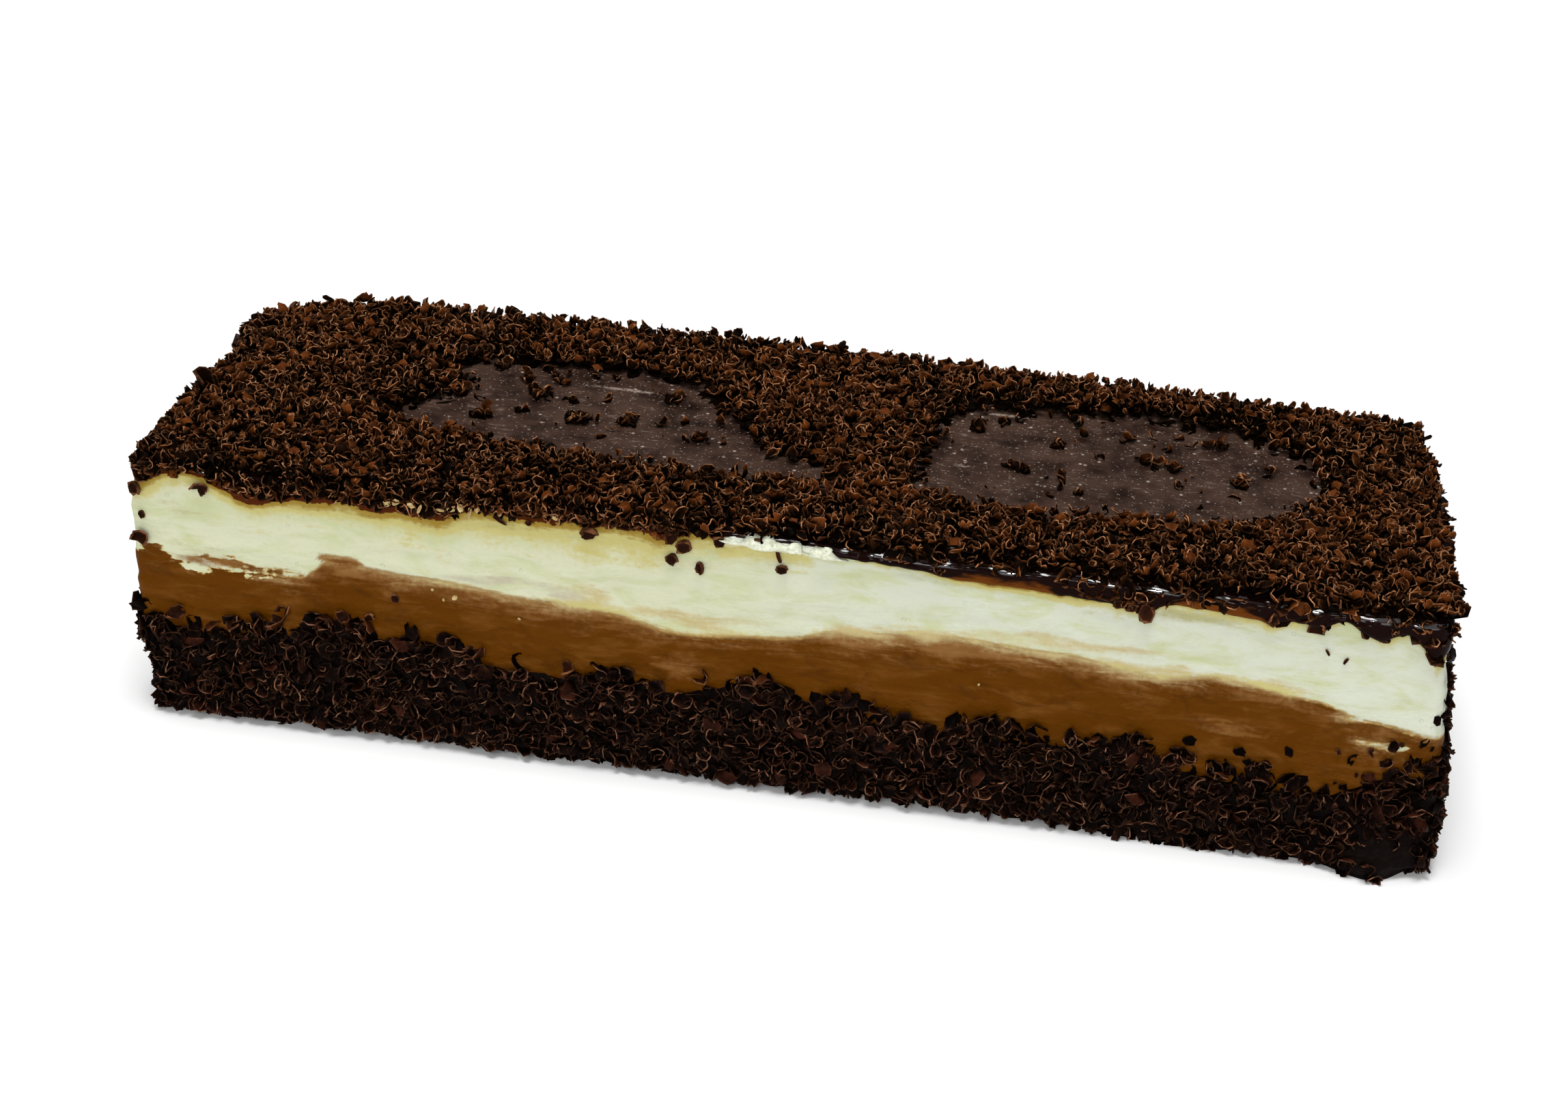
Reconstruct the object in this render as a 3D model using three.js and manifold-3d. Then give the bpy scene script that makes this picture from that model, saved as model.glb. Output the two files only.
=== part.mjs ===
// A layered cheesecake bar: a dark base, a mocha cream and a white cheese cream under a dark glaze.
// The base band and the top are coated with chocolate flakes, with two bare patches of glaze on top.
// Units are millimetres, +Z is up, the long cut front faces -Y and the cake rests on its flat underside.

import * as THREE from 'three';
import Module from 'manifold-3d';
import { mergeVertices } from 'three/addons/utils/BufferGeometryUtils.js';

// Driving dimensions of the cake.
const LEFT_END = -151;
const RIGHT_END = 150;
const FRONT_FACE = -46.8;
const BACK_FACE = 46.8;
const BACK_BOW = 3.2; // the back bulges by this much at the middle
const LEFT_DISH = { depth: 3.6, y: 11, half: 12 }; // a hollow in the left end's plan
const RIGHT_TAPER = { depth: 3.2, from: 8, to: 44 }; // the right end draws in between these distances in y
const CORNER_RADIUS = { frontLeft: 2.6, frontRight: 4, backLeft: 9, backRight: 5 };
const TOP_LEVEL = 69; // mean level of the flake coat at the sides
const TOP_CROWN = 1.5; // rise of the top at the middle
const CORNER_DROP = 3.5; // the top sinks by this much at the far left corner
const RIM_DROP = 0.9; // the glaze rounds over its rim by this much
const BARE_DEPTH = 1.9; // the bare glaze lies this far below the flake coat
const LAYER_GAP = 0.36; // clear gap between two layers
const BASE_OUTSET = 1.1; // the coated base stands out past the creams
const GLAZE_OUTSET = 0.7;
const FOOT_INSET = 4; // the underside starts this far in from the base's sides
const FOOT_HEIGHT = 3;
const SQUARE_FOOT = { from: 60, to: 140, share: 0.7 }; // the foot is squarer along this stretch
const FOOT_LUMP = { x: 138, half: 8.5, top: 14, reach: 4.2 }; // a lump at the foot of the front face

// Each end's profile, as [z, x]: how far the end lies from LEFT_END or RIGHT_END at a height.
const LEFT_PROFILE = [[0, 1.8], [13, 1.4], [23, -1.8], [38, -2.4], [55, -2.4], [66, 0], [76, 0]];
const RIGHT_PROFILE = [[0, 2.6], [12, 3.6], [30, 2.4], [45, 0.6], [60, -1.4], [76, -1.2]];
const PROFILE_SPREAD = 50; // length over which a profile fades out
const RIGHT_END_SLOPE = 0.12;

// Heights of the layer edges along the front face, as [x, z].
const FLAKE_LINE = [
  [-151, 30], [-135, 26.7], [-118, 30], [-105, 33], [-93, 31.7], [-80, 29], [-60, 26.7], [-27, 26.7],
  [-3, 31.7], [15, 28], [28, 25], [57, 25], [82, 28], [98, 23], [120, 20.8], [137, 28], [151, 31.7],
];
const CREAM_SEAM = [
  [-151, 44], [-135, 41.7], [-113, 41.7], [-105, 47], [-85, 45.8], [-60, 44], [-43, 43.3], [-22, 40],
  [0, 41.7], [15, 45], [40, 47.5], [65, 46.7], [87, 44], [100, 45.8], [123, 43.3], [133, 40], [151, 37.5],
];
const GLAZE_EDGE = [
  [-151, 64.5], [-140, 66.4], [-124, 60.8], [-110, 63.3], [-85, 62.5], [-67, 65.6], [-43, 65.6], [-22, 66.4],
  [8, 66], [23, 65], [40, 63.3], [57, 63], [77, 61.7], [90, 63.3], [107, 62.5], [123, 63], [151, 60],
];

// Bare patches of glaze in the flake coat: centre, half lengths and turn.
const BARE_PATCHES = [
  { x: 74, y: 6, halfX: 47, halfY: 24, turn: -0.06 },
  { x: -56, y: 1, halfX: 44, halfY: 19.5, turn: 0.1 },
  { x: -18, y: -14.5, halfX: 17, halfY: 4.2, turn: -0.06 },
];

// Mesh spacing. Rows close up towards the front and back so that the corners are round.
const COLUMNS = 54;
const EDGE_ROWS = [0, 0.9, 2.6, 5.2];
const MIDDLE_ROWS = 15;
const BASE_RINGS = 6;
const CREAM_RINGS = 2;

// Relief and fused flakes.
const TOP_RELIEF = { rise: 1.1, shift: 1.5 };
const BASE_RELIEF = { rise: 1.5, shift: 1.3 };
const CREAM_RELIEF = 0.35;
const FLAKE_LENGTH = [4.8, 7.6];
const FLAKE_WIDTH = [3.2, 4.8];
const FLAKE_THICKNESS = 0.75;
const FLAKE_STATIONS = [0.6, 1, 0.55]; // share of the full width along the length
const FLAKE_BEND = [0.8, 1.5];
const FLAKE_ROOT = 0.2; // a flake turns about a place this share of its length from its middle
const TOP_FLAKE_GRID = { across: 13, deep: 5 };
const SIDE_FLAKE_SPACING = 19;
const RIGHT_END_FLAKES = 5;

const DEPTH = BACK_FACE - FRONT_FACE;
const LENGTH = RIGHT_END - LEFT_END;
const MIDDLE_X = (LEFT_END + RIGHT_END) / 2;

const mix = (a, b, t) => a + (b - a) * t;
const clamp01 = (t) => Math.min(1, Math.max(0, t));
const ease = (t) => clamp01(t) * clamp01(t) * (3 - 2 * clamp01(t));

/** A repeatable stream of numbers from 0 to 1. */
function seededRandom(seed) {
  let state = seed;
  return () => {
    state = (state + 0x6d2b79f5) | 0;
    let bits = Math.imul(state ^ (state >>> 15), 1 | state);
    bits = (bits + Math.imul(bits ^ (bits >>> 7), 61 | bits)) ^ bits;
    return ((bits ^ (bits >>> 14)) >>> 0) / 4294967296;
  };
}

/** Height of an edge at x: an eased line through the edge's points. */
function edgeHeight(points, x) {
  const last = points.length - 1;
  if (x <= points[0][0]) return points[0][1];
  if (x >= points[last][0]) return points[last][1];
  const next = points.findIndex((point) => point[0] > x);
  const [x0, z0] = points[next - 1];
  const [x1, z1] = points[next];
  return mix(z0, z1, ease((x - x0) / (x1 - x0)));
}

// Heights of the three seams over the plan: the front's edge turns into plain waves at the back.
const frontToBack = (y) => ease((y - FRONT_FACE) / DEPTH);
const flakeLine = (x, y) =>
  mix(edgeHeight(FLAKE_LINE, x), 28 + 2.2 * Math.sin(x / 19 + 1) + 1.4 * Math.sin(x / 7.7), frontToBack(y));
const creamSeam = (x, y) =>
  mix(edgeHeight(CREAM_SEAM, x), 43.5 + 1.8 * Math.sin(x / 31 + 2) + Math.sin(x / 12), frontToBack(y));
const glazeEdge = (x, y) =>
  mix(edgeHeight(GLAZE_EDGE, x), 64.2 + 1.4 * Math.sin(x / 23) + Math.sin(x / 9.5 + 1), frontToBack(y));

/** Level of the top before any relief: crowned along the middle and sunk at the far left corner. */
function topLevel(x, y) {
  const along = (x - MIDDLE_X) / (LENGTH / 2);
  const across = y / (DEPTH / 2);
  const crown = TOP_CROWN * (1 - along ** 4) * (0.6 + 0.4 * (1 - across ** 2));
  const toCorner = Math.hypot(x - LEFT_END, y - BACK_FACE) / 34;
  return TOP_LEVEL + crown - CORNER_DROP * (1 - ease(toCorner)) - 0.8 * (1 - ease((x - LEFT_END) / 22));
}

/** How bare the top is at a place: 1 inside a bare patch, 0 in the flake coat. */
function bareness(x, y) {
  let bare = 0;
  for (const patch of BARE_PATCHES) {
    const dx = x - patch.x;
    const dy = y - patch.y;
    const along = (dx * Math.cos(patch.turn) + dy * Math.sin(patch.turn)) / patch.halfX;
    const across = (dy * Math.cos(patch.turn) - dx * Math.sin(patch.turn)) / patch.halfY;
    const angle = Math.atan2(across, along);
    const ragged = 1 + 0.06 * Math.sin(3 * angle + 1) + 0.05 * Math.sin(7 * angle);
    const reach = (Math.abs(along) ** 2.6 + Math.abs(across) ** 2.6) ** (1 / 2.6) / ragged;
    bare = Math.max(bare, ease((1.06 - reach) / 0.12));
  }
  return bare;
}

// The plan is a grid of columns and rows that fills the rounded outline.
const rowDistances = [
  ...EDGE_ROWS,
  ...Array.from({ length: MIDDLE_ROWS - 1 }, (_, k) =>
    mix(EDGE_ROWS.at(-1), DEPTH - EDGE_ROWS.at(-1), (k + 1) / MIDDLE_ROWS)),
  ...[...EDGE_ROWS].reverse().map((distance) => DEPTH - distance),
];
const ROWS = rowDistances.length - 1;

/** How far a rounded corner pulls in an end of a row that lies this far from the nearer long side. */
const cornerInset = (radius, distance) =>
  distance >= radius ? 0 : radius - Math.sqrt(radius ** 2 - (radius - distance) ** 2);

/** Plan x of the left end with its hollow, before the corners are rounded. */
const leftEndAt = (y) => LEFT_END + LEFT_DISH.depth * Math.exp(-(((y - LEFT_DISH.y) / LEFT_DISH.half) ** 2));

/** Plan x of the right end as it draws in towards the back, before the corners are rounded. */
const rightEndAt = (y) =>
  RIGHT_END - RIGHT_TAPER.depth * ease((y - RIGHT_TAPER.from) / (RIGHT_TAPER.to - RIGHT_TAPER.from));

/** Plan point of a grid column and row. */
function planPoint(column, row) {
  const fromFront = rowDistances[row];
  const fromBack = DEPTH - fromFront;
  const y = FRONT_FACE + fromFront;
  const left = leftEndAt(y) + cornerInset(CORNER_RADIUS.frontLeft, fromFront)
    + cornerInset(CORNER_RADIUS.backLeft, fromBack);
  const right = rightEndAt(y) - cornerInset(CORNER_RADIUS.frontRight, fromFront)
    - cornerInset(CORNER_RADIUS.backRight, fromBack);
  const x = mix(left, right, column / COLUMNS);
  const bow = BACK_BOW * (1 - Math.abs((x + 20) / 131) ** 2.2) * (fromFront / DEPTH) ** 2;
  return new THREE.Vector2(x, y + Math.max(bow, -1.2));
}

// Grid places of the outline, counterclockwise from the front left corner.
const outline = [
  ...Array.from({ length: COLUMNS + 1 }, (_, i) => [i, 0]),
  ...Array.from({ length: ROWS - 1 }, (_, j) => [COLUMNS, j + 1]),
  ...Array.from({ length: COLUMNS + 1 }, (_, i) => [COLUMNS - i, ROWS]),
  ...Array.from({ length: ROWS - 1 }, (_, j) => [0, ROWS - 1 - j]),
];
const outlinePlan = outline.map(([column, row]) => planPoint(column, row));
const outlineNormals = outlinePlan.map((_, k) => {
  const before = outlinePlan.at(k - 1);
  const after = outlinePlan[(k + 1) % outlinePlan.length];
  return new THREE.Vector2(after.y - before.y, before.x - after.x).normalize();
});

/** Gives a place near an end that end's profile: x at the place's height. */
function profiled(x, z) {
  const toLeft = ease((LEFT_END + PROFILE_SPREAD - x) / PROFILE_SPREAD);
  const toRight = ease((x - RIGHT_END + PROFILE_SPREAD) / PROFILE_SPREAD);
  return x + edgeHeight(LEFT_PROFILE, z) * toLeft + edgeHeight(RIGHT_PROFILE, z) * toRight;
}

/** One ring round the cake: its height, outset and sideways shift are functions of place and index. */
function ring(height, outset, shift = () => 0) {
  return outlinePlan.map((plan, k) => {
    const normal = outlineNormals[k];
    const reach = outset(plan, k);
    const slide = shift(k);
    const x = plan.x + normal.x * reach - normal.y * slide;
    const y = plan.y + normal.y * reach + normal.x * slide;
    const z = height(plan.x, plan.y, k);
    return new THREE.Vector3(profiled(x, z), y, z);
  });
}

/** Triangle list builder with shared points. */
class Shell {
  constructor() {
    this.points = [];
    this.faces = [];
  }

  /** Adds points and gives back their numbers. */
  add(points) {
    const first = this.points.length;
    this.points.push(...points);
    return points.map((_, k) => first + k);
  }

  /** A wall between two rings of point numbers, facing out. */
  wall(lower, upper) {
    lower.forEach((a, k) => {
      const next = (k + 1) % lower.length;
      this.faces.push(a, lower[next], upper[next], a, upper[next], upper[k]);
    });
  }

  /** Closes a ring onto a line of points along the middle of the cake. */
  cap(ringNumbers, spineHeight, facesUp) {
    const spineInset = DEPTH / 4;
    const spine = this.add(Array.from({ length: COLUMNS + 1 }, (_, i) => {
      const x = mix(LEFT_END + spineInset, RIGHT_END - spineInset, i / COLUMNS);
      return new THREE.Vector3(x, 0, spineHeight(x, 0));
    }));
    ringNumbers.forEach((a, k) => {
      const next = (k + 1) % ringNumbers.length;
      const b = ringNumbers[next];
      const spineA = spine[outline[k][0]];
      const spineB = spine[outline[next][0]];
      const faces = spineA === spineB ? [[a, b, spineA]] : [[a, b, spineB], [a, spineB, spineA]];
      for (const [p, q, r] of faces) this.faces.push(...(facesUp ? [p, q, r] : [q, p, r]));
    });
  }

  /** Closes a ring with a grid of points over the whole plan. */
  gridCap(ringNumbers, pointAt) {
    const placeOf = ([column, row]) => row * (COLUMNS + 1) + column;
    const onOutline = new Map(outline.map((place, k) => [placeOf(place), ringNumbers[k]]));
    const numberAt = [];
    for (let row = 0; row <= ROWS; row += 1) {
      for (let column = 0; column <= COLUMNS; column += 1) {
        numberAt.push(onOutline.get(placeOf([column, row])) ?? this.add([pointAt(column, row)])[0]);
      }
    }
    for (let row = 0; row < ROWS; row += 1) {
      for (let column = 0; column < COLUMNS; column += 1) {
        const a = numberAt[placeOf([column, row])];
        const b = numberAt[placeOf([column + 1, row])];
        const c = numberAt[placeOf([column + 1, row + 1])];
        const d = numberAt[placeOf([column, row + 1])];
        if ((row + column) % 2) this.faces.push(a, b, c, a, c, d);
        else this.faces.push(a, b, d, b, c, d);
      }
    }
  }

  geometry() {
    const geometry = new THREE.BufferGeometry();
    const positions = new Float32Array(this.points.flatMap((point) => point.toArray()));
    geometry.setAttribute('position', new THREE.BufferAttribute(positions, 3));
    geometry.setIndex(this.faces);
    return geometry;
  }
}

/** A chocolate flake: a thin chip bent along its length and narrower at its ends. */
function flakeGeometry(length, width, bend) {
  const shell = new Shell();
  const radius = length / bend;
  const stations = FLAKE_STATIONS.map((share, k) => {
    const angle = (k / (FLAKE_STATIONS.length - 1) - 0.5) * bend;
    const corners = [[-1, -1], [1, -1], [1, 1], [-1, 1]].map(([side, face]) => {
      const reach = radius - (face * FLAKE_THICKNESS) / 2;
      return new THREE.Vector3(
        reach * Math.sin(angle), (side * share * width) / 2, radius - reach * Math.cos(angle));
    });
    return shell.add(corners);
  });
  for (let k = 0; k + 1 < stations.length; k += 1) shell.wall(stations[k], stations[k + 1]);
  const [a, b, c, d] = stations[0];
  const [e, f, g, h] = stations.at(-1);
  shell.faces.push(a, c, b, a, d, c, e, f, g, e, g, h);
  return shell.geometry();
}

const wasm = await Module();
wasm.setup();

/** A solid for joining, from a closed geometry. */
function solidOf(geometry) {
  const bare = geometry.clone();
  bare.deleteAttribute('normal');
  bare.deleteAttribute('uv');
  const merged = mergeVertices(bare);
  return new wasm.Manifold(new wasm.Mesh({
    numProp: 3,
    vertProperties: new Float32Array(merged.attributes.position.array),
    triVerts: new Uint32Array(merged.index.array),
  }));
}

/** Fuses the flakes to a body and keeps its largest piece, so that no loose scrap is left. */
function fuse(bodyGeometry, flakes) {
  let body = solidOf(bodyGeometry);
  for (const flake of flakes) body = body.add(solidOf(flake));
  const pieces = body.decompose();
  const largest = pieces.reduce((best, piece) => (piece.volume() > best.volume() ? piece : best));
  const mesh = largest.getMesh();
  const geometry = new THREE.BufferGeometry();
  geometry.setAttribute('position', new THREE.BufferAttribute(new Float32Array(mesh.vertProperties), 3));
  geometry.setIndex(Array.from(mesh.triVerts));
  return geometry;
}

/** A flake of a random size, turned and tilted on a surface that faces along the normal. */
function placedFlake(random, place, normal, tilt) {
  const length = mix(...FLAKE_LENGTH, random());
  const bend = mix(...FLAKE_BEND, random()) * (random() < 0.5 ? 1 : -1);
  const geometry = flakeGeometry(length, mix(...FLAKE_WIDTH, random()), bend);
  geometry.translate(length * FLAKE_ROOT, 0, 0);
  const turn = new THREE.Quaternion().setFromAxisAngle(new THREE.Vector3(0, 0, 1), random() * 2 * Math.PI);
  const lift = new THREE.Quaternion().setFromAxisAngle(new THREE.Vector3(0, 1, 0), -mix(...tilt, random()));
  const face = new THREE.Quaternion().setFromUnitVectors(new THREE.Vector3(0, 0, 1), normal);
  geometry.applyQuaternion(face.multiply(turn).multiply(lift));
  geometry.translate(...place.toArray());
  return geometry;
}

/** How far in from the base's sides the underside starts. */
function footInset(x) {
  const square = ease((x - SQUARE_FOOT.from) / 25) * (1 - ease((x - SQUARE_FOOT.to) / 8));
  return FOOT_INSET * (1 - SQUARE_FOOT.share * square);
}

/** How far the lump at the foot of the front face stands out at a height. */
function lump(plan, z) {
  const isFront = plan.y < FRONT_FACE + CORNER_RADIUS.frontRight;
  if (!isFront) return 0;
  const along = (plan.x - FOOT_LUMP.x) / FOOT_LUMP.half;
  return FOOT_LUMP.reach * Math.exp(-(along ** 2)) * (1 - ease(z / FOOT_LUMP.top));
}

/** The coated base: rings of jittered points under the flake line, with larger flakes fused on. */
function baseGeometry() {
  const random = seededRandom(11);
  const shell = new Shell();
  const topHeight = (x, y) => flakeLine(x, y) - LAYER_GAP / 2;
  const underside = ring(() => 0, (plan) => BASE_OUTSET - footInset(plan.x) + lump(plan, 0));
  const rings = [shell.add(underside)];
  for (let level = 0; level < BASE_RINGS; level += 1) {
    const isTop = level === BASE_RINGS - 1;
    const share = level / (BASE_RINGS - 1);
    const lift = outlinePlan.map(() => (isTop ? 0 : (random() - 0.5) * 1.6));
    const rise = outlinePlan.map(() => (isTop ? 0 : random() * BASE_RELIEF.rise));
    const slide = outlinePlan.map(() => (isTop ? 0 : (random() - 0.5) * BASE_RELIEF.shift));
    const height = (x, y, k) => mix(FOOT_HEIGHT, topHeight(x, y), share) + lift[k];
    rings.push(shell.add(ring(
      height,
      (plan, k) => BASE_OUTSET + rise[k] + lump(plan, height(plan.x, plan.y, k)),
      (k) => slide[k])));
  }
  for (let k = 0; k + 1 < rings.length; k += 1) shell.wall(rings[k], rings[k + 1]);
  shell.cap(rings[0], () => 0, false);
  shell.cap(rings.at(-1), topHeight, true);
  return fuse(shell.geometry(), sideFlakes(random));
}

/** Large flakes round the base band, spread evenly along the outline at changing heights. */
function sideFlakes(random) {
  const flakes = [];
  let travelled = 0;
  outlinePlan.forEach((plan, k) => {
    travelled += plan.distanceTo(outlinePlan.at(k - 1));
    if (travelled < SIDE_FLAKE_SPACING) return;
    travelled -= SIDE_FLAKE_SPACING;
    const clear = flakeLine(plan.x, plan.y) - 6.2;
    for (const share of [0.25, 0.8]) {
      const z = mix(6, clear, clamp01(share + (random() - 0.5) * 0.3));
      const normal = outlineNormals[k];
      const reach = BASE_OUTSET - 0.1;
      const place = new THREE.Vector3(profiled(plan.x + normal.x * reach, z), plan.y + normal.y * reach, z);
      flakes.push(placedFlake(random, place, new THREE.Vector3(normal.x, normal.y, 0), [0.12, 0.4]));
    }
  });
  return flakes;
}

/** A cream layer between two seams, its sides as uneven as a trowel leaves them. */
function creamGeometry(seed, lowSeam, highSeam) {
  const random = seededRandom(seed);
  const shell = new Shell();
  const rings = [];
  for (let level = 0; level <= CREAM_RINGS; level += 1) {
    const isSeam = level === 0 || level === CREAM_RINGS;
    const rise = outlinePlan.map(() => (isSeam ? 0 : (random() - 0.5) * 2 * CREAM_RELIEF));
    const share = level / CREAM_RINGS;
    const height = (x, y) => mix(lowSeam(x, y) + LAYER_GAP / 2, highSeam(x, y) - LAYER_GAP / 2, share);
    rings.push(shell.add(ring(height, (plan, k) => rise[k])));
  }
  for (let k = 0; k + 1 < rings.length; k += 1) shell.wall(rings[k], rings[k + 1]);
  shell.cap(rings[0], (x, y) => lowSeam(x, y) + LAYER_GAP / 2, false);
  shell.cap(rings.at(-1), (x, y) => highSeam(x, y) - LAYER_GAP / 2, true);
  return fuse(shell.geometry(), rightEndFlakes(random, lowSeam, highSeam));
}

/** Flakes pressed onto the right end of a cream layer. */
function rightEndFlakes(random, lowSeam, highSeam) {
  return Array.from({ length: RIGHT_END_FLAKES }, (_, k) => {
    const y = mix(FRONT_FACE + 10, BACK_FACE - 12, (k + 0.5) / RIGHT_END_FLAKES) + (random() - 0.5) * 8;
    const low = lowSeam(RIGHT_END, y) + 5.8;
    const high = highSeam(RIGHT_END, y) - 5.8;
    const z = mix(low, high, random());
    const normal = new THREE.Vector3(1, 0, RIGHT_END_SLOPE).normalize();
    const place = new THREE.Vector3(profiled(rightEndAt(y), z) - 0.1, y, z);
    return placedFlake(random, place, normal, [0.2, 0.5]);
  });
}

/** The glaze and its flake coat: a rounded rim, a jittered top and bare patches that lie lower. */
function glazeGeometry() {
  const random = seededRandom(23);
  const shell = new Shell();
  const underside = (x, y) => glazeEdge(x, y) + LAYER_GAP / 2;
  const rimTop = (x, y) => topLevel(x, y) - RIM_DROP;
  const rings = [
    ring(underside, () => GLAZE_OUTSET),
    ring((x, y) => mix(underside(x, y), rimTop(x, y), 0.5), () => GLAZE_OUTSET + random() * 0.7),
    ring(rimTop, () => GLAZE_OUTSET - 0.1 + random() * 0.5),
  ].map((points) => shell.add(points));
  shell.wall(rings[0], rings[1]);
  shell.wall(rings[1], rings[2]);
  shell.cap(rings[0], underside, false);
  shell.gridCap(rings.at(-1), (column, row) => {
    const plan = planPoint(column, row);
    const isEdge = row < 3 || row > ROWS - 3 || column < 1 || column > COLUMNS - 1;
    const bare = bareness(plan.x, plan.y);
    const shift = isEdge ? 0 : TOP_RELIEF.shift;
    const x = plan.x + (random() - 0.5) * 2 * shift;
    const y = plan.y + (random() - 0.5) * 2 * shift;
    const relief = (random() - 0.35) * 2 * TOP_RELIEF.rise * (1 - bare) - BARE_DEPTH * bare;
    const z = topLevel(plan.x, plan.y) + relief;
    return new THREE.Vector3(profiled(x, z), y, z);
  });
  return fuse(shell.geometry(), topFlakes(random));
}

/** Large flakes standing out of the top, one to each cell of a loose grid. */
function topFlakes(random) {
  const flakes = [];
  const { across, deep } = TOP_FLAKE_GRID;
  const inset = 7;
  const up = new THREE.Vector3(0, 0, 1);
  for (let i = 0; i < across; i += 1) {
    for (let j = 0; j < deep; j += 1) {
      const u = (i + 0.2 + 0.6 * random()) / across;
      const v = (j + 0.2 + 0.6 * random()) / deep;
      const x = mix(LEFT_END + inset, RIGHT_END - inset - 3, u);
      const y = mix(FRONT_FACE + inset, BACK_FACE - inset + 2, v);
      const isSparse = bareness(x, y) > 0.3;
      const isCorner = Math.hypot(x - LEFT_END, y - BACK_FACE) < 13;
      if (isCorner || (isSparse && random() < 0.75)) continue;
      const z = topLevel(x, y) + (isSparse ? -BARE_DEPTH : 0);
      flakes.push(placedFlake(random, new THREE.Vector3(x, y, z), up, isSparse ? [0.05, 0.2] : [0.2, 0.6]));
    }
  }
  return flakes;
}

const finishes = {
  flakeCoat: new THREE.MeshStandardMaterial({ color: 0x4a2614, roughness: 0.6, metalness: 0 }),
  mocha: new THREE.MeshStandardMaterial({ color: 0x6e4620, roughness: 0.5, metalness: 0 }),
  white: new THREE.MeshStandardMaterial({ color: 0xdde0cc, roughness: 0.5, metalness: 0 }),
  glaze: new THREE.MeshStandardMaterial({ color: 0x3a2016, roughness: 0.35, metalness: 0 }),
};

const layers = [
  ['flake_base', baseGeometry(), finishes.flakeCoat],
  ['mocha_cream', creamGeometry(31, flakeLine, creamSeam), finishes.mocha],
  ['white_cream', creamGeometry(37, creamSeam, glazeEdge), finishes.white],
  ['chocolate_glaze', glazeGeometry(), finishes.glaze],
];

const cake = new THREE.Group();
for (const [name, geometry, finish] of layers) {
  const mesh = new THREE.Mesh(geometry, finish);
  mesh.name = name;
  cake.add(mesh);
}

// The origin is the middle of the underside of the cake's own box.
const box = new THREE.Box3().setFromObject(cake);
const middle = box.getCenter(new THREE.Vector3());
cake.position.set(-middle.x, -middle.y, -box.min.z);

export default cake;
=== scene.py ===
"""A layered cheesecake bar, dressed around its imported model.

The cake lies along X with its cut front facing -Y. A dark base, a mocha cream and a white cheese cream
lie under a dark glaze. Chocolate flakes coat the base band, the right end and the top, where two
patches of glaze stay bare. Sizes are millimetres in the cake's own axes and become metres in the
frame when a mesh is made.
"""

import logging
import math
from dataclasses import dataclass, field
from enum import Enum

import bpy
import numpy as np
from mathutils import Matrix


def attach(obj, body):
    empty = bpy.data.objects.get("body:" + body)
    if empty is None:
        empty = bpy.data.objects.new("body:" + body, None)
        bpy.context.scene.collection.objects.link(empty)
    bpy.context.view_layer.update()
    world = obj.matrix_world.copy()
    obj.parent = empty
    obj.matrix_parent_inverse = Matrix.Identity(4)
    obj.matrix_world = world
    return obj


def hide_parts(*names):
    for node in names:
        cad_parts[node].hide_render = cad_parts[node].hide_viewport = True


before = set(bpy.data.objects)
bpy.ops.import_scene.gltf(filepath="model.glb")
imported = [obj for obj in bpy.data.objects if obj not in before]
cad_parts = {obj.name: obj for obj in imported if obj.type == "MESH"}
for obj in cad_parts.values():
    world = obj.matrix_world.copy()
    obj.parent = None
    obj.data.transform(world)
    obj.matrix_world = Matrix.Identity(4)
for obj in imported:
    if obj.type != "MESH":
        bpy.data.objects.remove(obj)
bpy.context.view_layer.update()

LOG = logging.getLogger("cheesecake")
MM = 0.001
AXES_SHIFT = np.array([-0.293, -1.031, 0.0])  # from the cake's own axes to the middle of its box

Colour = tuple[float, float, float]
Place = tuple[float, float, float]
Line = tuple[tuple[float, float], ...]  # pairs of place and value, in rising order of place
Spots = tuple[tuple[float, float, float], ...]  # two coordinates and a size

UP: Place = (0.0, 0.0, 1.0)
OUT_OF_FRONT: Place = (0.0, -1.0, 0.0)


def srgb(red: int, green: int, blue: int) -> Colour:
    """Turns a colour as a screen shows it, 0 to 255, into linear values."""
    shares = [channel / 255 for channel in (red, green, blue)]
    return tuple(s / 12.92 if s <= 0.04045 else ((s + 0.055) / 1.055) ** 2.4 for s in shares)


def ease(t: np.ndarray | float) -> np.ndarray | float:
    """Smooth step from 0 to 1: 3 t squared minus 2 t cubed, held outside 0 to 1."""
    held = np.clip(t, 0.0, 1.0)
    return held * held * (3.0 - 2.0 * held)


def mix(a: np.ndarray | float, b: np.ndarray | float, t: np.ndarray | float) -> np.ndarray | float:
    """The value a share t of the way from a to b."""
    return a + (b - a) * t


def eased_line(line: Line, at: np.ndarray) -> np.ndarray:
    """Value of a line through points, eased between them.

    Args:
        line: Pairs of place and value, in rising order of place.
        at: Places to read.

    Returns:
        One value for each place.
    """
    places, values = np.array(line, float).T
    step = np.clip(np.searchsorted(places, at, side="right") - 1, 0, len(places) - 2)
    share = (at - places[step]) / (places[step + 1] - places[step])
    return mix(values[step], values[step + 1], ease(share))


def run_along(x: np.ndarray, y: np.ndarray) -> np.ndarray:
    """Where noise is read along a side: x and 1.3 y, so that it changes along the ends too."""
    return x + 1.3 * y


def wall_quads(index: np.ndarray) -> np.ndarray:
    """Four-sided faces between closed rings of points that lie on one another, given by their numbers."""
    following = np.roll(index, -1, axis=1)
    return np.stack([index[:-1], following[:-1], following[1:], index[1:]], -1).reshape(-1, 4)


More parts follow.
